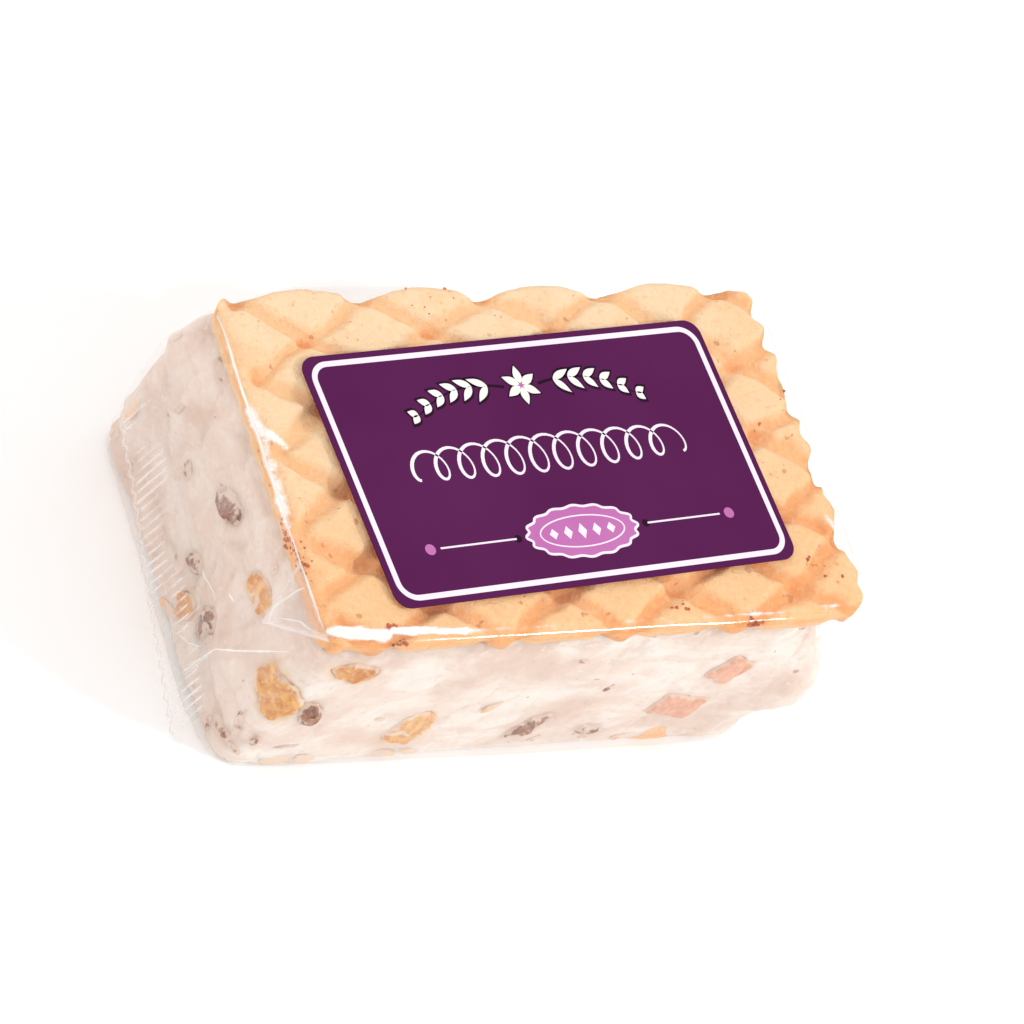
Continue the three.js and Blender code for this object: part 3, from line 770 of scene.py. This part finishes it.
bitSpots = {  # face, place along it and height in millimetres, length, height, lean in degrees
    "raisin": (
        ("front", 7, 3.2, 2.4, 1.2, 20), ("front", -36, 6, 4.2, 1.2, 12), ("front", 11, 18.7, 2.2, 1.6, 70),
        ("front", -42, 7, 1.2, 5.5, 20), ("front", 1, 27.7, 2.6, 0.8, -8), ("left", 18.4, 22, 1.4, 2.6, 0),
        ("left", 10.7, 17.7, 2, 3.2, 35), ("left", -12, 30, 1.4, 2, 0), ("left", -21, 2.5, 1.6, 3, 15),
        ("corner", 17.5, 13, 7, 2.6, 32), ("corner", 19.5, 17.5, 2.4, 6, -6), ("front", 41, 30.8, 6.4, 0.9, 8),
        ("corner", 19, 31, 3.4, 1, -14), ("fold", 14.2, 9, 1.5, 8, 12), ("fold", 12.6, 4, 3.6, 1, -30),
        ("right", -8, 24, 2.4, 1.4, 10), ("right", 16, 8, 2, 1.2, -30), ("back", -30, 22, 2.8, 1.3, 25),
        ("back", 16, 26, 2.2, 1.2, -15), ("back", 34, 12, 1.8, 1.8, 0),
    ),
    "peel": (
        ("front", -7.5, 15.7, 3.6, 1.3, 32), ("left", 27, 26.7, 1.2, 2.8, 0), ("left", 26.4, 3, 1.6, 3.4, 10),
        ("front", -25, 13.5, 1.4, 1, 0), ("right", 2, 14, 2.4, 1.6, 20), ("back", 6, 14, 2.6, 1.6, -20),
        ("back", -14, 9, 1.6, 1.4, 0), ("front", 16.5, 2.4, 2.2, 1.2, 20),
    ),
    "jelly": (("front", 34, 2.5, 4, 1.4, 4), ("front", 23, 1.8, 3, 1.2, 8), ("back", -38, 5, 3, 1.6, 0)),
    "crumb": (
        ("front", -35.5, 1.7, 5.5, 3, 10), ("front", -31.5, 2.1, 3.6, 2.4, -20),
        ("front", -18.5, 1.5, 5, 1.8, 12), ("front", -14, 2, 3.6, 1.6, -10), ("left", 24.5, 12, 2, 5, 10),
        ("left", -3, 1.6, 6, 2, 0),
        ("back", 12, 1.6, 6, 2.2, 0), ("right", -10, 1.8, 5, 2, 0),
    ),
}
fruitLooks["crumb"] = {"broken": 0.5, "edge": 0.6}
fruitFinishes["crumb"] = fruitFinish("crumbInNougat", {
    "dark": tint(240, 176, 110), "light": tint(252, 208, 158), "crust": tint(255, 226, 190), "grain": 700,
    "sugar": 0.5, "dull": 0.6, "glow": 0.1, "smear": 0.9, "gloss": 0.2, "flecks": 2.2, "shows": 0.8,
})
faceWays = {  # the way along a face, then the way out of it
    "front": ((1, 0), (0, -1)), "back": ((-1, 0), (0, 1)), "left": ((0, 1), (-1, 0)), "right": ((0, 1), (1, 0)),
    "corner": ((0.707, 0.707), (0.707, -0.707)), "fold": ((-0.707, 0.707), (-0.707, -0.707)),
}


def bitsMesh(spots, seed):  # small flattened lumps half sunk in the nougat
    shape = bmesh.new()
    for face, along, height, length, tall, lean in spots:
        across, out = (Vector((*way, 0)) for way in faceWays[face])
        start = at(0, 0, height) + (across * along + out * 90) * mm
        spot, normal, _, _ = nougatSkin.ray_cast(start, -out)
        side = normal.cross(Vector((0, 0, 1))).normalized()
        frameTurn = Matrix((side, normal.cross(side), normal)).transposed().to_4x4()
        scale = Matrix.Diagonal((length / 2 * mm, tall / 2 * mm, 0.35 * mm, 1))
        placed = Matrix.Translation(spot) @ frameTurn @ Matrix.Rotation(math.radians(lean), 4, "Z") @ scale
        ball = bmesh.ops.create_icosphere(shape, subdivisions=4, radius=1)
        for vertex in ball["verts"]:
            vertex.co *= 1 + 0.25 * noise.noise(vertex.co * 1.4 + Vector((seed, along, height)))
        bmesh.ops.transform(shape, matrix=placed, verts=ball["verts"])
    return freed(shape)


for seed, (kind, spots) in enumerate(bitSpots.items()):
    bits = displaced(bitsMesh(spots, seed + 1), lambda point, normal: 0.12 * rough(point, 0.8, seed) * mm)
    markBare(bits, fruitLooks[kind]["broken"] / 2, fruitLooks[kind]["edge"])
    makePiece(kind + "Bits", bits, fruitFinishes[kind], "wafer" if kind == "crumb" else kind)
print("bits done")


# label

labelSizes = {
    "length": 70, "width": 40, "corner": 2.5, "turn": math.radians(4), "at": (-0.5, -1.15), "thick": 0.18,
}
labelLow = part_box("label")[0]
labelPaper = printFinish("plumPaper", tint(91, 31, 83), tint(84, 25, 76), 0.5)
inkFinishes = {
    "white": printFinish("paleInk", tint(250, 240, 248), tint(244, 230, 242), 0.45),
    "lilac": printFinish("lilacInk", tint(203, 126, 187), tint(190, 110, 174), 0.45),
    "cream": printFinish("creamInk", tint(247, 245, 242), tint(240, 238, 234), 0.45),
    "dark": printFinish("darkInk", tint(50, 16, 44), tint(38, 12, 34), 0.45),
}


def roundedPath(length, width, corner, steps=8):
    path = []
    for quarter, (sx, sy) in enumerate(((1, 1), (-1, 1), (-1, -1), (1, -1))):
        for k in range(steps + 1):
            turn = (quarter + k / steps) * math.pi / 2
            path.append(((length / 2 - corner) * sx + corner * math.cos(turn),
                         (width / 2 - corner) * sy + corner * math.sin(turn)))
    return path


def slab(shape, path, low, high):  # a flat closed field between two heights, in label millimetres
    rings = [[shape.verts.new((x, y, z)) for x, y in path] for z in (low, high)]
    shape.faces.new(rings[1])
    shape.faces.new(rings[0][::-1])
    for k in range(len(path)):
        n = (k + 1) % len(path)
        shape.faces.new((rings[0][k], rings[0][n], rings[1][n], rings[1][k]))


def stroke(shape, path, width, low, high, closed=False):  # a closed strip along a path
    count = len(path)
    sides = []
    for k, (x, y) in enumerate(path):
        before = path[k - 1] if closed or k else path[0]
        after = path[(k + 1) % count] if closed or k < count - 1 else path[-1]
        way = Vector((after[0] - before[0], after[1] - before[1], 0)).normalized()
        wide = width(k / (count - 1)) if callable(width) else width
        off = Vector((-way.y, way.x, 0)) * wide / 2
        spot = Vector((x, y, 0))
        corners = ((spot - off, low), (spot + off, low), (spot + off, high), (spot - off, high))
        sides.append([shape.verts.new((c.x, c.y, z)) for c, z in corners])
    for k in range(count if closed else count - 1):
        one, two = sides[k], sides[(k + 1) % count]
        for j in range(4):
            shape.faces.new((one[j], one[(j + 1) % 4], two[(j + 1) % 4], two[j]))
    if not closed:
        shape.faces.new(sides[0])
        shape.faces.new(sides[-1][::-1])


def laidOnLabel(shape):
    bmesh.ops.triangulate(shape, faces=shape.faces[:])
    bmesh.ops.recalc_face_normals(shape, faces=shape.faces[:])
    turn = Matrix.Rotation(labelSizes["turn"], 4, "Z")
    foot = at(*labelSizes["at"], 0) + Vector((0, 0, labelLow.z - 0.2 * mm))
    for vertex in shape.verts:
        vertex.co = foot + turn @ (vertex.co * mm)
    return freed(shape)


def leafPath(x, y, length, width, lean):  # a pointed leaf from its stalk end
    path = []
    for side in (1, -1):
        for k in range(9):
            share = k / 9 if side > 0 else 1 - k / 9
            spot = Vector((share * length, side * width / 2 * math.sin(math.pi * share ** 0.8)))
            path.append((Vector((x, y)) + Matrix.Rotation(lean, 2) @ spot)[:])
    return path


def ovalPath(x, y, wide, tall, frill=0, count=64):
    path = []
    for k in range(count):
        turn = math.tau * k / count
        grow = 1 + frill * math.cos(turn * 16)
        path.append((x + wide / 2 * grow * math.cos(turn), y + tall / 2 * grow * math.sin(turn)))
    return path


inkBase = labelSizes["thick"] - 0.02
inkTops = {"dark": labelSizes["thick"] + 0.015, "lilac": labelSizes["thick"] + 0.02,
           "cream": labelSizes["thick"] + 0.03, "white": labelSizes["thick"] + 0.04}
ink = {name: bmesh.new() for name in inkTops}


def field(name, path):
    slab(ink[name], path, inkBase, inkTops[name])


def line(name, path, width, closed=False):
    stroke(ink[name], path, width, inkBase, inkTops[name], closed)


def sprayOfLeaves(sign):  # an arched stem with leaves, from the flower outwards
    stem = []
    for k in range(13):
        share = k / 12
        rise = 1.2 * math.sin(share * 3) - 3.2 * share ** 2
        stem.append((sign * (3 + 16 * share), motifSizes["flowerHigh"] + rise))
    line("dark", stem, lambda share: 0.45 - 0.25 * share)
    for k in range(2, 13, 2):
        x, y = stem[k]
        for turn in (35, -35):
            lean = math.radians(turn - 12) if sign > 0 else math.radians(180 - turn + 12)
            size = 3.9 - 0.16 * k
            field("dark", leafPath(x, y, size + 0.5, 1.75, lean))
            field("cream", leafPath(x + 0.15 * sign, y, size - 0.2, 1.15, lean))


motifSizes = {  # in label millimetres
    "flowerHigh": 12.2, "badgeHigh": -11.6, "scrollHigh": 1.2, "scrollLong": 46, "loops": 11, "loopSteps": 26,
    "loopWide": 2.3, "loopTall": 2.9, "frill": 0.035, "frillSteps": 128,
}


def printMotifs():
    flower, badge, loops = motifSizes["flowerHigh"], motifSizes["badgeHigh"], motifSizes["loops"]
    line("white", roundedPath(67.2, 37.2, 2.7, 10), 0.85, closed=True)
    for sign in (1, -1):
        sprayOfLeaves(sign)
        line("white", [(sign * (11.5 + 13 * k / 6), badge) for k in range(7)], 0.28)
        field("lilac", ovalPath(sign * 26.2, badge, 1.7, 1.7))
        field("dark", ovalPath(sign * 11.2, badge, 1.2, 1.2))
    for k in range(6):
        lean = math.radians(60 * k + 30)
        field("dark", leafPath(0, flower, 3.5, 1.9, lean))
        field("cream", leafPath(0.3 * math.cos(lean), flower + 0.3 * math.sin(lean), 2.9, 1.35, lean))
    field("lilac", ovalPath(0, flower, 1.5, 1.5))
    scroll = []
    steps = loops * motifSizes["loopSteps"]
    for k in range(steps + 1):
        share = k / steps
        turn = math.tau * loops * share
        grow = 0.75 + 0.25 * math.sin(math.pi * share)
        x = motifSizes["scrollLong"] * (share - 0.5) - motifSizes["loopWide"] * grow * math.sin(turn)
        scroll.append((x, motifSizes["scrollHigh"] - motifSizes["loopTall"] * grow * math.cos(turn)))
    line("white", scroll, lambda share: 0.42 + 0.16 * math.sin(share * math.tau * loops))
    frill = (motifSizes["frill"], motifSizes["frillSteps"])
    field("lilac", ovalPath(0, badge, 18.5, 7.6, *frill))
    line("white", ovalPath(0, badge, 18.9, 8, *frill), 0.4, closed=True)
    line("white", ovalPath(0, badge, 14.6, 4.9), 0.22, closed=True)
    for k in range(-2, 3):
        field("white", ovalPath(k * 2.5, badge, 1.5, 2.5 - 0.4 * abs(k), 0, 4))


def labelSlab(shorter, low, high):
    sheet = bmesh.new()
    outline = roundedPath(labelSizes["length"] - shorter, labelSizes["width"] - shorter, labelSizes["corner"])
    slab(sheet, outline, low, high)
    return laidOnLabel(sheet)


makePiece("label", labelSlab(0, 0, labelSizes["thick"]), labelPaper, "label", "label", smooth=False)
makePiece("labelBacking", labelSlab(0.2, -0.06, -0.005), inkFinishes["cream"], "label", smooth=False)
printMotifs()
for name, shape in ink.items():
    makePiece("labelPrint" + name.capitalize(), laidOnLabel(shape), inkFinishes[name], "label", smooth=False)
print("label done")


# film

filmLook = {
    "through": (0.995, 0.995, 0.995, 1),
    "milk": (0.93, 0.85, 0.81, 1),
    "glare": (1, 0.985, 0.97, 1),
    "rough": 0.1,
    "bump": 0.15,
    "haze": 0.0,
    "crease": 1.0,
    "edge": 0.55,
    "face": 0.035,
    "clearance": 0.5,
    "cell": 0.65,
    "flute": 0.32,
    "veil": 0.24,
}
clearFilm = filmFinish("clearFilm", filmLook)


def wrapMesh():  # the taut film: the hull of all that it holds
    shape = bmesh.new()
    for name in ("wafer_top", "wafer_bottom", *fruitNodes):
        shape.from_mesh(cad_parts[name].data)
    shape.from_mesh(nougatMesh)
    hull = bmesh.ops.convex_hull(shape, input=shape.verts[:])
    kept = {item for item in hull["geom"] if isinstance(item, bmesh.types.BMFace)}
    bmesh.ops.delete(shape, geom=[face for face in shape.faces if face not in kept], context="FACES")
    bmesh.ops.delete(shape, geom=[v for v in shape.verts if not v.link_faces], context="VERTS")
    bmesh.ops.remove_doubles(shape, verts=shape.verts, dist=1e-6)
    bmesh.ops.recalc_face_normals(shape, faces=shape.faces[:])
    return remeshed(freed(shape), filmLook["cell"], 4)


def flutes(point, seed):  # upright gathers on the two ends, 0 to 1
    slanted = Vector((point.y / mm + 0.35 * point.z / mm, point.z / mm * 0.12, seed * 3.1))
    return ridges(slanted * mm, 3.1, seed) * (0.5 + 0.5 * rough(point, 9, seed + 2))


def filmHeight(point, normal):
    side = 1 - abs(normal.z)
    gather = filmLook["flute"] * flutes(point, 3) * held(abs(normal.x) * 2 - 0.8)
    return (filmLook["clearance"] + gather + 0.2 * side * rough(point, 9, 5)) * mm


glares = (  # painted highlight streaks: strength, half width, then points along a bright streak, in millimetres
    (1.2, 0.8, ((-46.8, 27, 38), (-46.9, 13.8, 38), (-46.8, 8, 38))),
    (1.25, 1.7, ((-46.8, 9, 38), (-46, 4.4, 38.2), (-46.3, 0, 38), (-46.5, -5, 38), (-46.7, -9, 38))),
    (1.3, 1.3, ((-45, 5, 38.2), (-43.2, 2.6, 38.2))),
    (1.0, 0.7, ((-46.7, -9, 38), (-46.8, -16, 38), (-46.6, -26, 38))),
    (2.6, 1.2, ((-45.4, -25.8, 38), (-41, -26.4, 38), (-37, -27, 38))),
    (2.2, 0.8, ((-36, -26.4, 38), (-30, -26.6, 38), (-24, -27, 38))),
    (0.9, 0.7, ((-24, -27, 38), (-8, -27.3, 38), (16, -27.2, 38), (41, -26.4, 38))),
    (1.3, 1.2, ((43.6, -12, 38), (45, -14.5, 38))),
)


def glareAt(point):  # 1 or more on the middle of a streak, 0 beside it
    best = 0
    for strength, wide, spots in glares:
        for one, two in zip(spots, spots[1:]):
            start, end = at(*one), at(*two)
            way = end - start
            share = held((point - start).dot(way) / way.length_squared)
            best = max(best, strength * (1 - (point - start - way * share).length / (wide * mm)))
    return best


filmSkin = displaced(wrapMesh(), filmHeight)
for vertex in filmSkin.vertices:
    vertex.co.z = max(vertex.co.z, 0.02 * mm)
creaseValues = []
for vertex in filmSkin.vertices:
    onEnd = held(abs(vertex.normal.x) * 2 - 0.8)
    smear = 0.5 + 0.5 * rough(vertex.co, 6, 12)
    creaseValues.append(onEnd * filmLook["veil"] * (0.35 * smear + 0.9 * flutes(vertex.co, 3)) + 0.015)
mark(filmSkin, "crease", creaseValues)
mark(filmSkin, "glare", [glareAt(vertex.co) for vertex in filmSkin.vertices])
makePiece("filmSkin", filmSkin, clearFilm, "film", "film")
skin = bodyOf(filmSkin)
print("film done", len(filmSkin.polygons))


# end seals

sealSizes = {
    "Length": 44 * mm,
    "Drop": 9 * mm,
    "Out": 0.2,
    "Slope": 0.28,
    "Crimp pitch": 1.25 * mm,
    "Crimp": 0.07 * mm,
    "Tooth pitch": 2.2 * mm,
    "Tooth": 1.1 * mm,
    "Wave": 1.3 * mm,
    "Thickness": 0.08 * mm,
    "Columns": 340,
    "Rows": 26,
}
sealPlace = {"height": 16.5 * mm, "end": 48.3 * mm, "gap": 0.3 * mm}


def sealTree(finish):
    tree, size, _ = newTree("crimpedSeal", sealSizes)
    grid = addNode(tree, "GeometryNodeMeshGrid", {
        "Size X": size["Length"], "Size Y": size["Drop"],
        "Vertices X": size["Columns"], "Vertices Y": size["Rows"],
    })
    place = made(tree, "GeometryNodeInputPosition")
    along, down, _ = split(tree, place)
    fall = (down * -1) + size["Drop"] * 0.5
    share = fall / size["Drop"]
    tooth = ((along / size["Tooth pitch"]).run("PINGPONG", 0.5) * 2) * size["Tooth"] * share
    crimpPhase = (along + fall * 0.05) / size["Crimp pitch"] * math.tau
    band = share.rise(0.12, 0.3) * share.rise(0.98, 0.85)
    crimp = crimpPhase.run("SINE") * band
    wave = cloud(tree, place, 70.0, 2) * size["Wave"] * share
    patchy = cloud(tree, place, 130.0, 3).rise(0.42, 0.66)
    out = fall * size["Out"] + wave + crimp * size["Crimp"]
    marked = addNode(tree, "GeometryNodeStoreNamedAttribute", {
        "Geometry": grid, "Name": "crease",
        "Value": crimp.rise(0.3, 1.0) * 0.5 * patchy * band + share.rise(0.92, 1.0) * 0.35 + 0.01,
    }, data_type="FLOAT", domain="POINT")
    shaped = addNode(tree, "GeometryNodeSetPosition", {
        "Geometry": marked, "Position": join(tree, out * -1, along, along * size["Slope"] - fall - tooth),
    })
    closeTree(tree, backed(tree, shaped, (1, 0, 0), size["Thickness"]), finish)
    return tree


def draped(mesh, side):  # a seal pushed out to where it lies on the film
    for vertex in mesh.vertices:
        fall = side * vertex.co.y * sealSizes["Slope"] + sealPlace["height"] - vertex.co.z
        hit = skin.ray_cast(Vector((-90 * mm * side, vertex.co.y, vertex.co.z)), Vector((side, 0, 0)))[0]
        if hit:
            rest = sealPlace["end"] + fall * sealSizes["Out"]
            vertex.co.x -= side * max(0, abs(hit.x - blockMiddle.x) + sealPlace["gap"] - rest)
    return mesh


sealLook = dict(filmLook, rough=0.32, edge=0.2, face=0.02, milk=(0.95, 0.88, 0.85, 1))
crimpedFilm = filmFinish("crimpedFilm", sealLook)
sealing = sealTree(crimpedFilm)
for name, turn in (("filmSealLeft", 0), ("filmSealRight", math.pi)):
    seal = grown(sealing, sealSizes)
    seal.transform(Matrix.Translation((-sealPlace["end"], 0, 0)))
    seal.transform(Matrix.Translation(at(0, 0, sealPlace["height"] / mm)) @ Matrix.Rotation(turn, 4, "Z"))
    makePiece(name, draped(seal, math.cos(turn)), crimpedFilm, "film")


# creases of the film

creaseLook = dict(filmLook, through=(1, 1, 1, 1), milk=(1, 0.955, 0.92, 1), rough=0.3, bump=0.1, haze=0.08,
                  crease=0.75, edge=0.3, face=0.04, flat=0.25)
whiteCrease = filmFinish("whiteCrease", creaseLook)
creaseLines = (  # half width, then face and points along it, in millimetres
    (0.24, "top", ((-46.9, 27), (-47.0, 13.8), (-46.9, 2.5), (-46.9, -6.7), (-46.8, -15))),
    (0.18, "top", ((-46.9, -12), (-46.8, -19), (-46.4, -26))),
    (0.2, "left", ((-18.7, 37.4), (-18.1, 34.5), (-17.3, 29.6), (-18.1, 27.1), (-20.1, 28.4))),
    (0.16, "left", ((-18.6, 28.7), (-22.1, 34.0), (-26.5, 37.5))),
    (0.18, "left", ((-9.7, 0.8), (-13.4, 2.7), (-14.8, 12.8), (-17.4, 17.1), (-24.0, 28.9))),
    (0.12, "left", ((-3.9, 16.3), (-8.3, 17.0), (-9.9, 16.9))),
    (0.13, "left", ((-6.5, 13.3), (-8.0, 12.7), (-7.9, 8.6), (-8.8, 7.7))),
    (0.15, "left", ((-10.2, 20.5), (-12.2, 21.4))),
    (0.13, "left", ((-3.4, 5.4), (-6.2, 4.9), (-9.4, 4.1))),
    (0.14, "left", ((-7.8, 5.2), (-10.9, 7.4), (-13.2, 10.2))),
    (0.14, "left", ((-14.0, 3.8), (-14.6, 8.7), (-14.9, 11.5))),
    (0.15, "right", ((18.5, 3), (15.5, 12), (20, 24), (25, 34))),
    (0.15, "right", ((-20, 4), (-16, 14), (-19, 24), (-25, 34))),
    (0.3, "topRight", ((47.4, -22), (47.5, -6), (47.4, 10), (47.3, 24))),
)


def creasePoint(face, a, b):
    if face.startswith("top"):
        return skin.find_nearest(at(a, b, 38.2))[0]
    start = at(-80 if face == "left" else 80, a, b)
    way = Vector((1 if face == "left" else -1, 0, 0))
    return skin.ray_cast(start, way)[0]


creaseSizes = {"Step": 0.4 * mm, "Sides": 8}


def creaseTree(finish):
    tree, size, guide = newTree("filmCrease", creaseSizes)
    curve = addNode(tree, "GeometryNodeMeshToCurve", {"Mesh": guide})
    fine = addNode(tree, "GeometryNodeResampleCurve", {"Curve": curve, "Length": size["Step"]}, mode="LENGTH")
    factor = Wire(tree, addNode(tree, "GeometryNodeSplineParameter").outputs["Factor"])
    thick = made(tree, "GeometryNodeInputNamedAttribute", {"Name": "thick"}, data_type="FLOAT")
    place = made(tree, "GeometryNodeInputPosition")
    taper = (factor * factor.flip() * 4).run("POWER", 0.4)
    radius = thick * taper * (cloud(tree, place, 260.0, 2) * 1.2 + 0.4)
    ring = addNode(tree, "GeometryNodeCurvePrimitiveCircle", {"Resolution": size["Sides"], "Radius": 1.0})
    tube = {"Curve": fine, "Profile Curve": ring, "Scale": radius, "Fill Caps": True}
    closeTree(tree, addNode(tree, "GeometryNodeCurveToMesh", tube), finish)
    return tree


def creaseGuide():
    points, edges, thick = [], [], []
    for wide, face, spots in creaseLines:
        first = len(points)
        for (a, b), (c, d) in zip(spots, spots[1:]):
            for k in range(6):
                points.append(creasePoint(face, a + (c - a) * k / 6, b + (d - b) * k / 6))
        points.append(creasePoint(face, *spots[-1]))
        thick += [wide * mm] * (len(points) - first)
        edges += [(k, k + 1) for k in range(first, len(points) - 1)]
    mesh = bpy.data.meshes.new("guide")
    mesh.from_pydata(points, edges, [])
    mark(mesh, "thick", thick)
    return mesh


def pressedOn(mesh):  # round creases pressed flat on the film and marked by their height
    heights = []
    for vertex in mesh.vertices:
        spot, normal, _, _ = skin.find_nearest(vertex.co)
        height = (vertex.co - spot).dot(normal)
        vertex.co -= normal * height * (1 - creaseLook["flat"])
        heights.append(held(height / (0.22 * mm)) ** 0.6)
    mark(mesh, "crease", heights)
    return mesh


earSizes = {
    "corners": ((-46.8, -15.5, 38.2), (-46.2, -27.6, 38.2), (-48.2, -18.4, 27)),  # millimetres
    "belly": 1.5, "lift": 0.35, "thick": 0.07, "steps": 20, "veil": 0.1, "hem": 0.5,
}


def dogEar():  # the loose triangle of film at the front left corner
    top, side, foot = (at(*spot) for spot in earSizes["corners"])
    count = earSizes["steps"]
    shape = bmesh.new()
    hem = shape.verts.layers.float.new("crease")
    sheets = []
    for depth in (0, earSizes["thick"] * mm):
        sheet = {}
        for i in range(count + 1):
            for j in range(i + 1):
                down, over = i / count, j / max(1, i)
                spot = top + (foot - top) * down * (1 - over) + (side - top) * down * over
                across = math.sin(math.pi * over)
                belly = (earSizes["belly"] * math.sin(math.pi * down) + 0.25 * rough(spot, 3, 4)) * across
                vertex = shape.verts.new(spot + Vector((depth - (belly + earSizes["lift"]) * mm, 0, 0)))
                border = held(max(1 - over * i / 1.6, (i - count + 1.6) / 1.6))
                haze = earSizes["veil"] * (0.6 + 0.8 * rough(spot, 2, 9) ** 2)
                vertex[hem] = border * earSizes["hem"] + haze
                sheet[i, j] = vertex
        sheets.append(sheet)
    outer, inner = sheets
    for i in range(count):
        for j in range(i + 1):
            cells = [((i, j), (i + 1, j), (i + 1, j + 1))]
            if j < i:
                cells.append(((i, j), (i + 1, j + 1), (i, j + 1)))
            for cell in cells:
                shape.faces.new([outer[spot] for spot in cell])
                shape.faces.new([inner[spot] for spot in reversed(cell)])
    rim = [*((k, 0) for k in range(count)), *((count, k) for k in range(count)),
           *((k, k) for k in range(count, 0, -1))]
    for one, two in zip(rim, rim[1:] + rim[:1]):
        shape.faces.new((outer[one], inner[one], inner[two], outer[two]))
    bmesh.ops.recalc_face_normals(shape, faces=shape.faces[:])
    return freed(shape)


makePiece("filmDogEar", dogEar(), crimpedFilm, "film")
creases = pressedOn(grown(creaseTree(whiteCrease), creaseSizes, creaseGuide()))
makePiece("filmCreases", creases, whiteCrease, "film")
print("creases done")


# studio

floorSize = {"half": 3.0, "pale": tint(252, 252, 252), "glow": 0.12}


def floorFinish():
    material, tree, surface, coords = newFinish("paleFloor")
    grain = cloud(tree, coords, 60, 3)
    fill(tree, surface, {
        "Base Color": mixTint(tree, grain, floorSize["pale"], tint(249, 249, 249)), "Roughness": 0.9,
        "Emission Color": floorSize["pale"], "Emission Strength": floorSize["glow"],
    })
    return material


floorMesh = bpy.data.meshes.new("floor")
reach = floorSize["half"]
corners = [(-reach, -reach, 0), (reach, -reach, 0), (reach, reach, 0), (-reach, reach, 0)]
floorMesh.from_pydata(corners, [], [(0, 1, 2, 3)])
floorMesh.transform(Matrix.Translation((0, 0, -0.0002)))
floorMesh.materials.append(floorFinish())
floor = bpy.data.objects.new("floor", floorMesh)
bpy.context.scene.collection.objects.link(floor)

lights = {
    "sky": 0.85,
    "key": {"power": 4.6, "size": 0.1, "from": (0.67, -0.53, 0.84), "tint": (1.0, 0.985, 0.97)},
    "fill": {"power": 1.6, "size": 0.4, "from": (-0.7, 0.4, 0.75), "tint": (1.0, 0.985, 0.97)},
}
world = bpy.data.worlds.new("studio")
world.use_nodes = True
world.node_tree.nodes["Background"].inputs[0].default_value = (1, 1, 1, 1)
world.node_tree.nodes["Background"].inputs[1].default_value = lights["sky"]
bpy.context.scene.world = world
for name in ("key", "fill"):
    light = lights[name]
    lamp = bpy.data.lights.new(name, "AREA")
    lamp.shape = "DISK"
    lamp.size = light["size"]
    lamp.energy = light["power"]
    lamp.color = light["tint"]
    holder = bpy.data.objects.new(name, lamp)
    holder.location = Vector(light["from"])
    holder.rotation_euler = (-holder.location).to_track_quat("-Z", "Y").to_euler()
    bpy.context.scene.collection.objects.link(holder)

cameraFit = {
    "from": (-452.3, -316.9, 611.8),  # millimetres
    "looking": (0.56196, 0.39120, -0.72882),
    "roll": math.radians(43.78),
    "lens": 198.9,
}
looking = Vector(cameraFit["looking"]).normalized()
level = looking.cross(Vector((0, 0, 1))).normalized()
steep = level.cross(looking)
turn = cameraFit["roll"]
rightWay = level * math.cos(turn) + steep * math.sin(turn)
upWay = steep * math.cos(turn) - level * math.sin(turn)
camera = bpy.data.objects.new("camera", bpy.data.cameras.new("camera"))
camera.data.lens = cameraFit["lens"]
camera.data.sensor_width = 36
camera.data.clip_start = 0.01
turned = Matrix((rightWay, upWay, -looking)).transposed().to_4x4()
camera.matrix_world = Matrix.Translation(at(*cameraFit["from"])) @ turned
bpy.context.scene.collection.objects.link(camera)
bpy.context.scene.camera = camera
bpy.context.scene.view_settings.view_transform = "Standard"
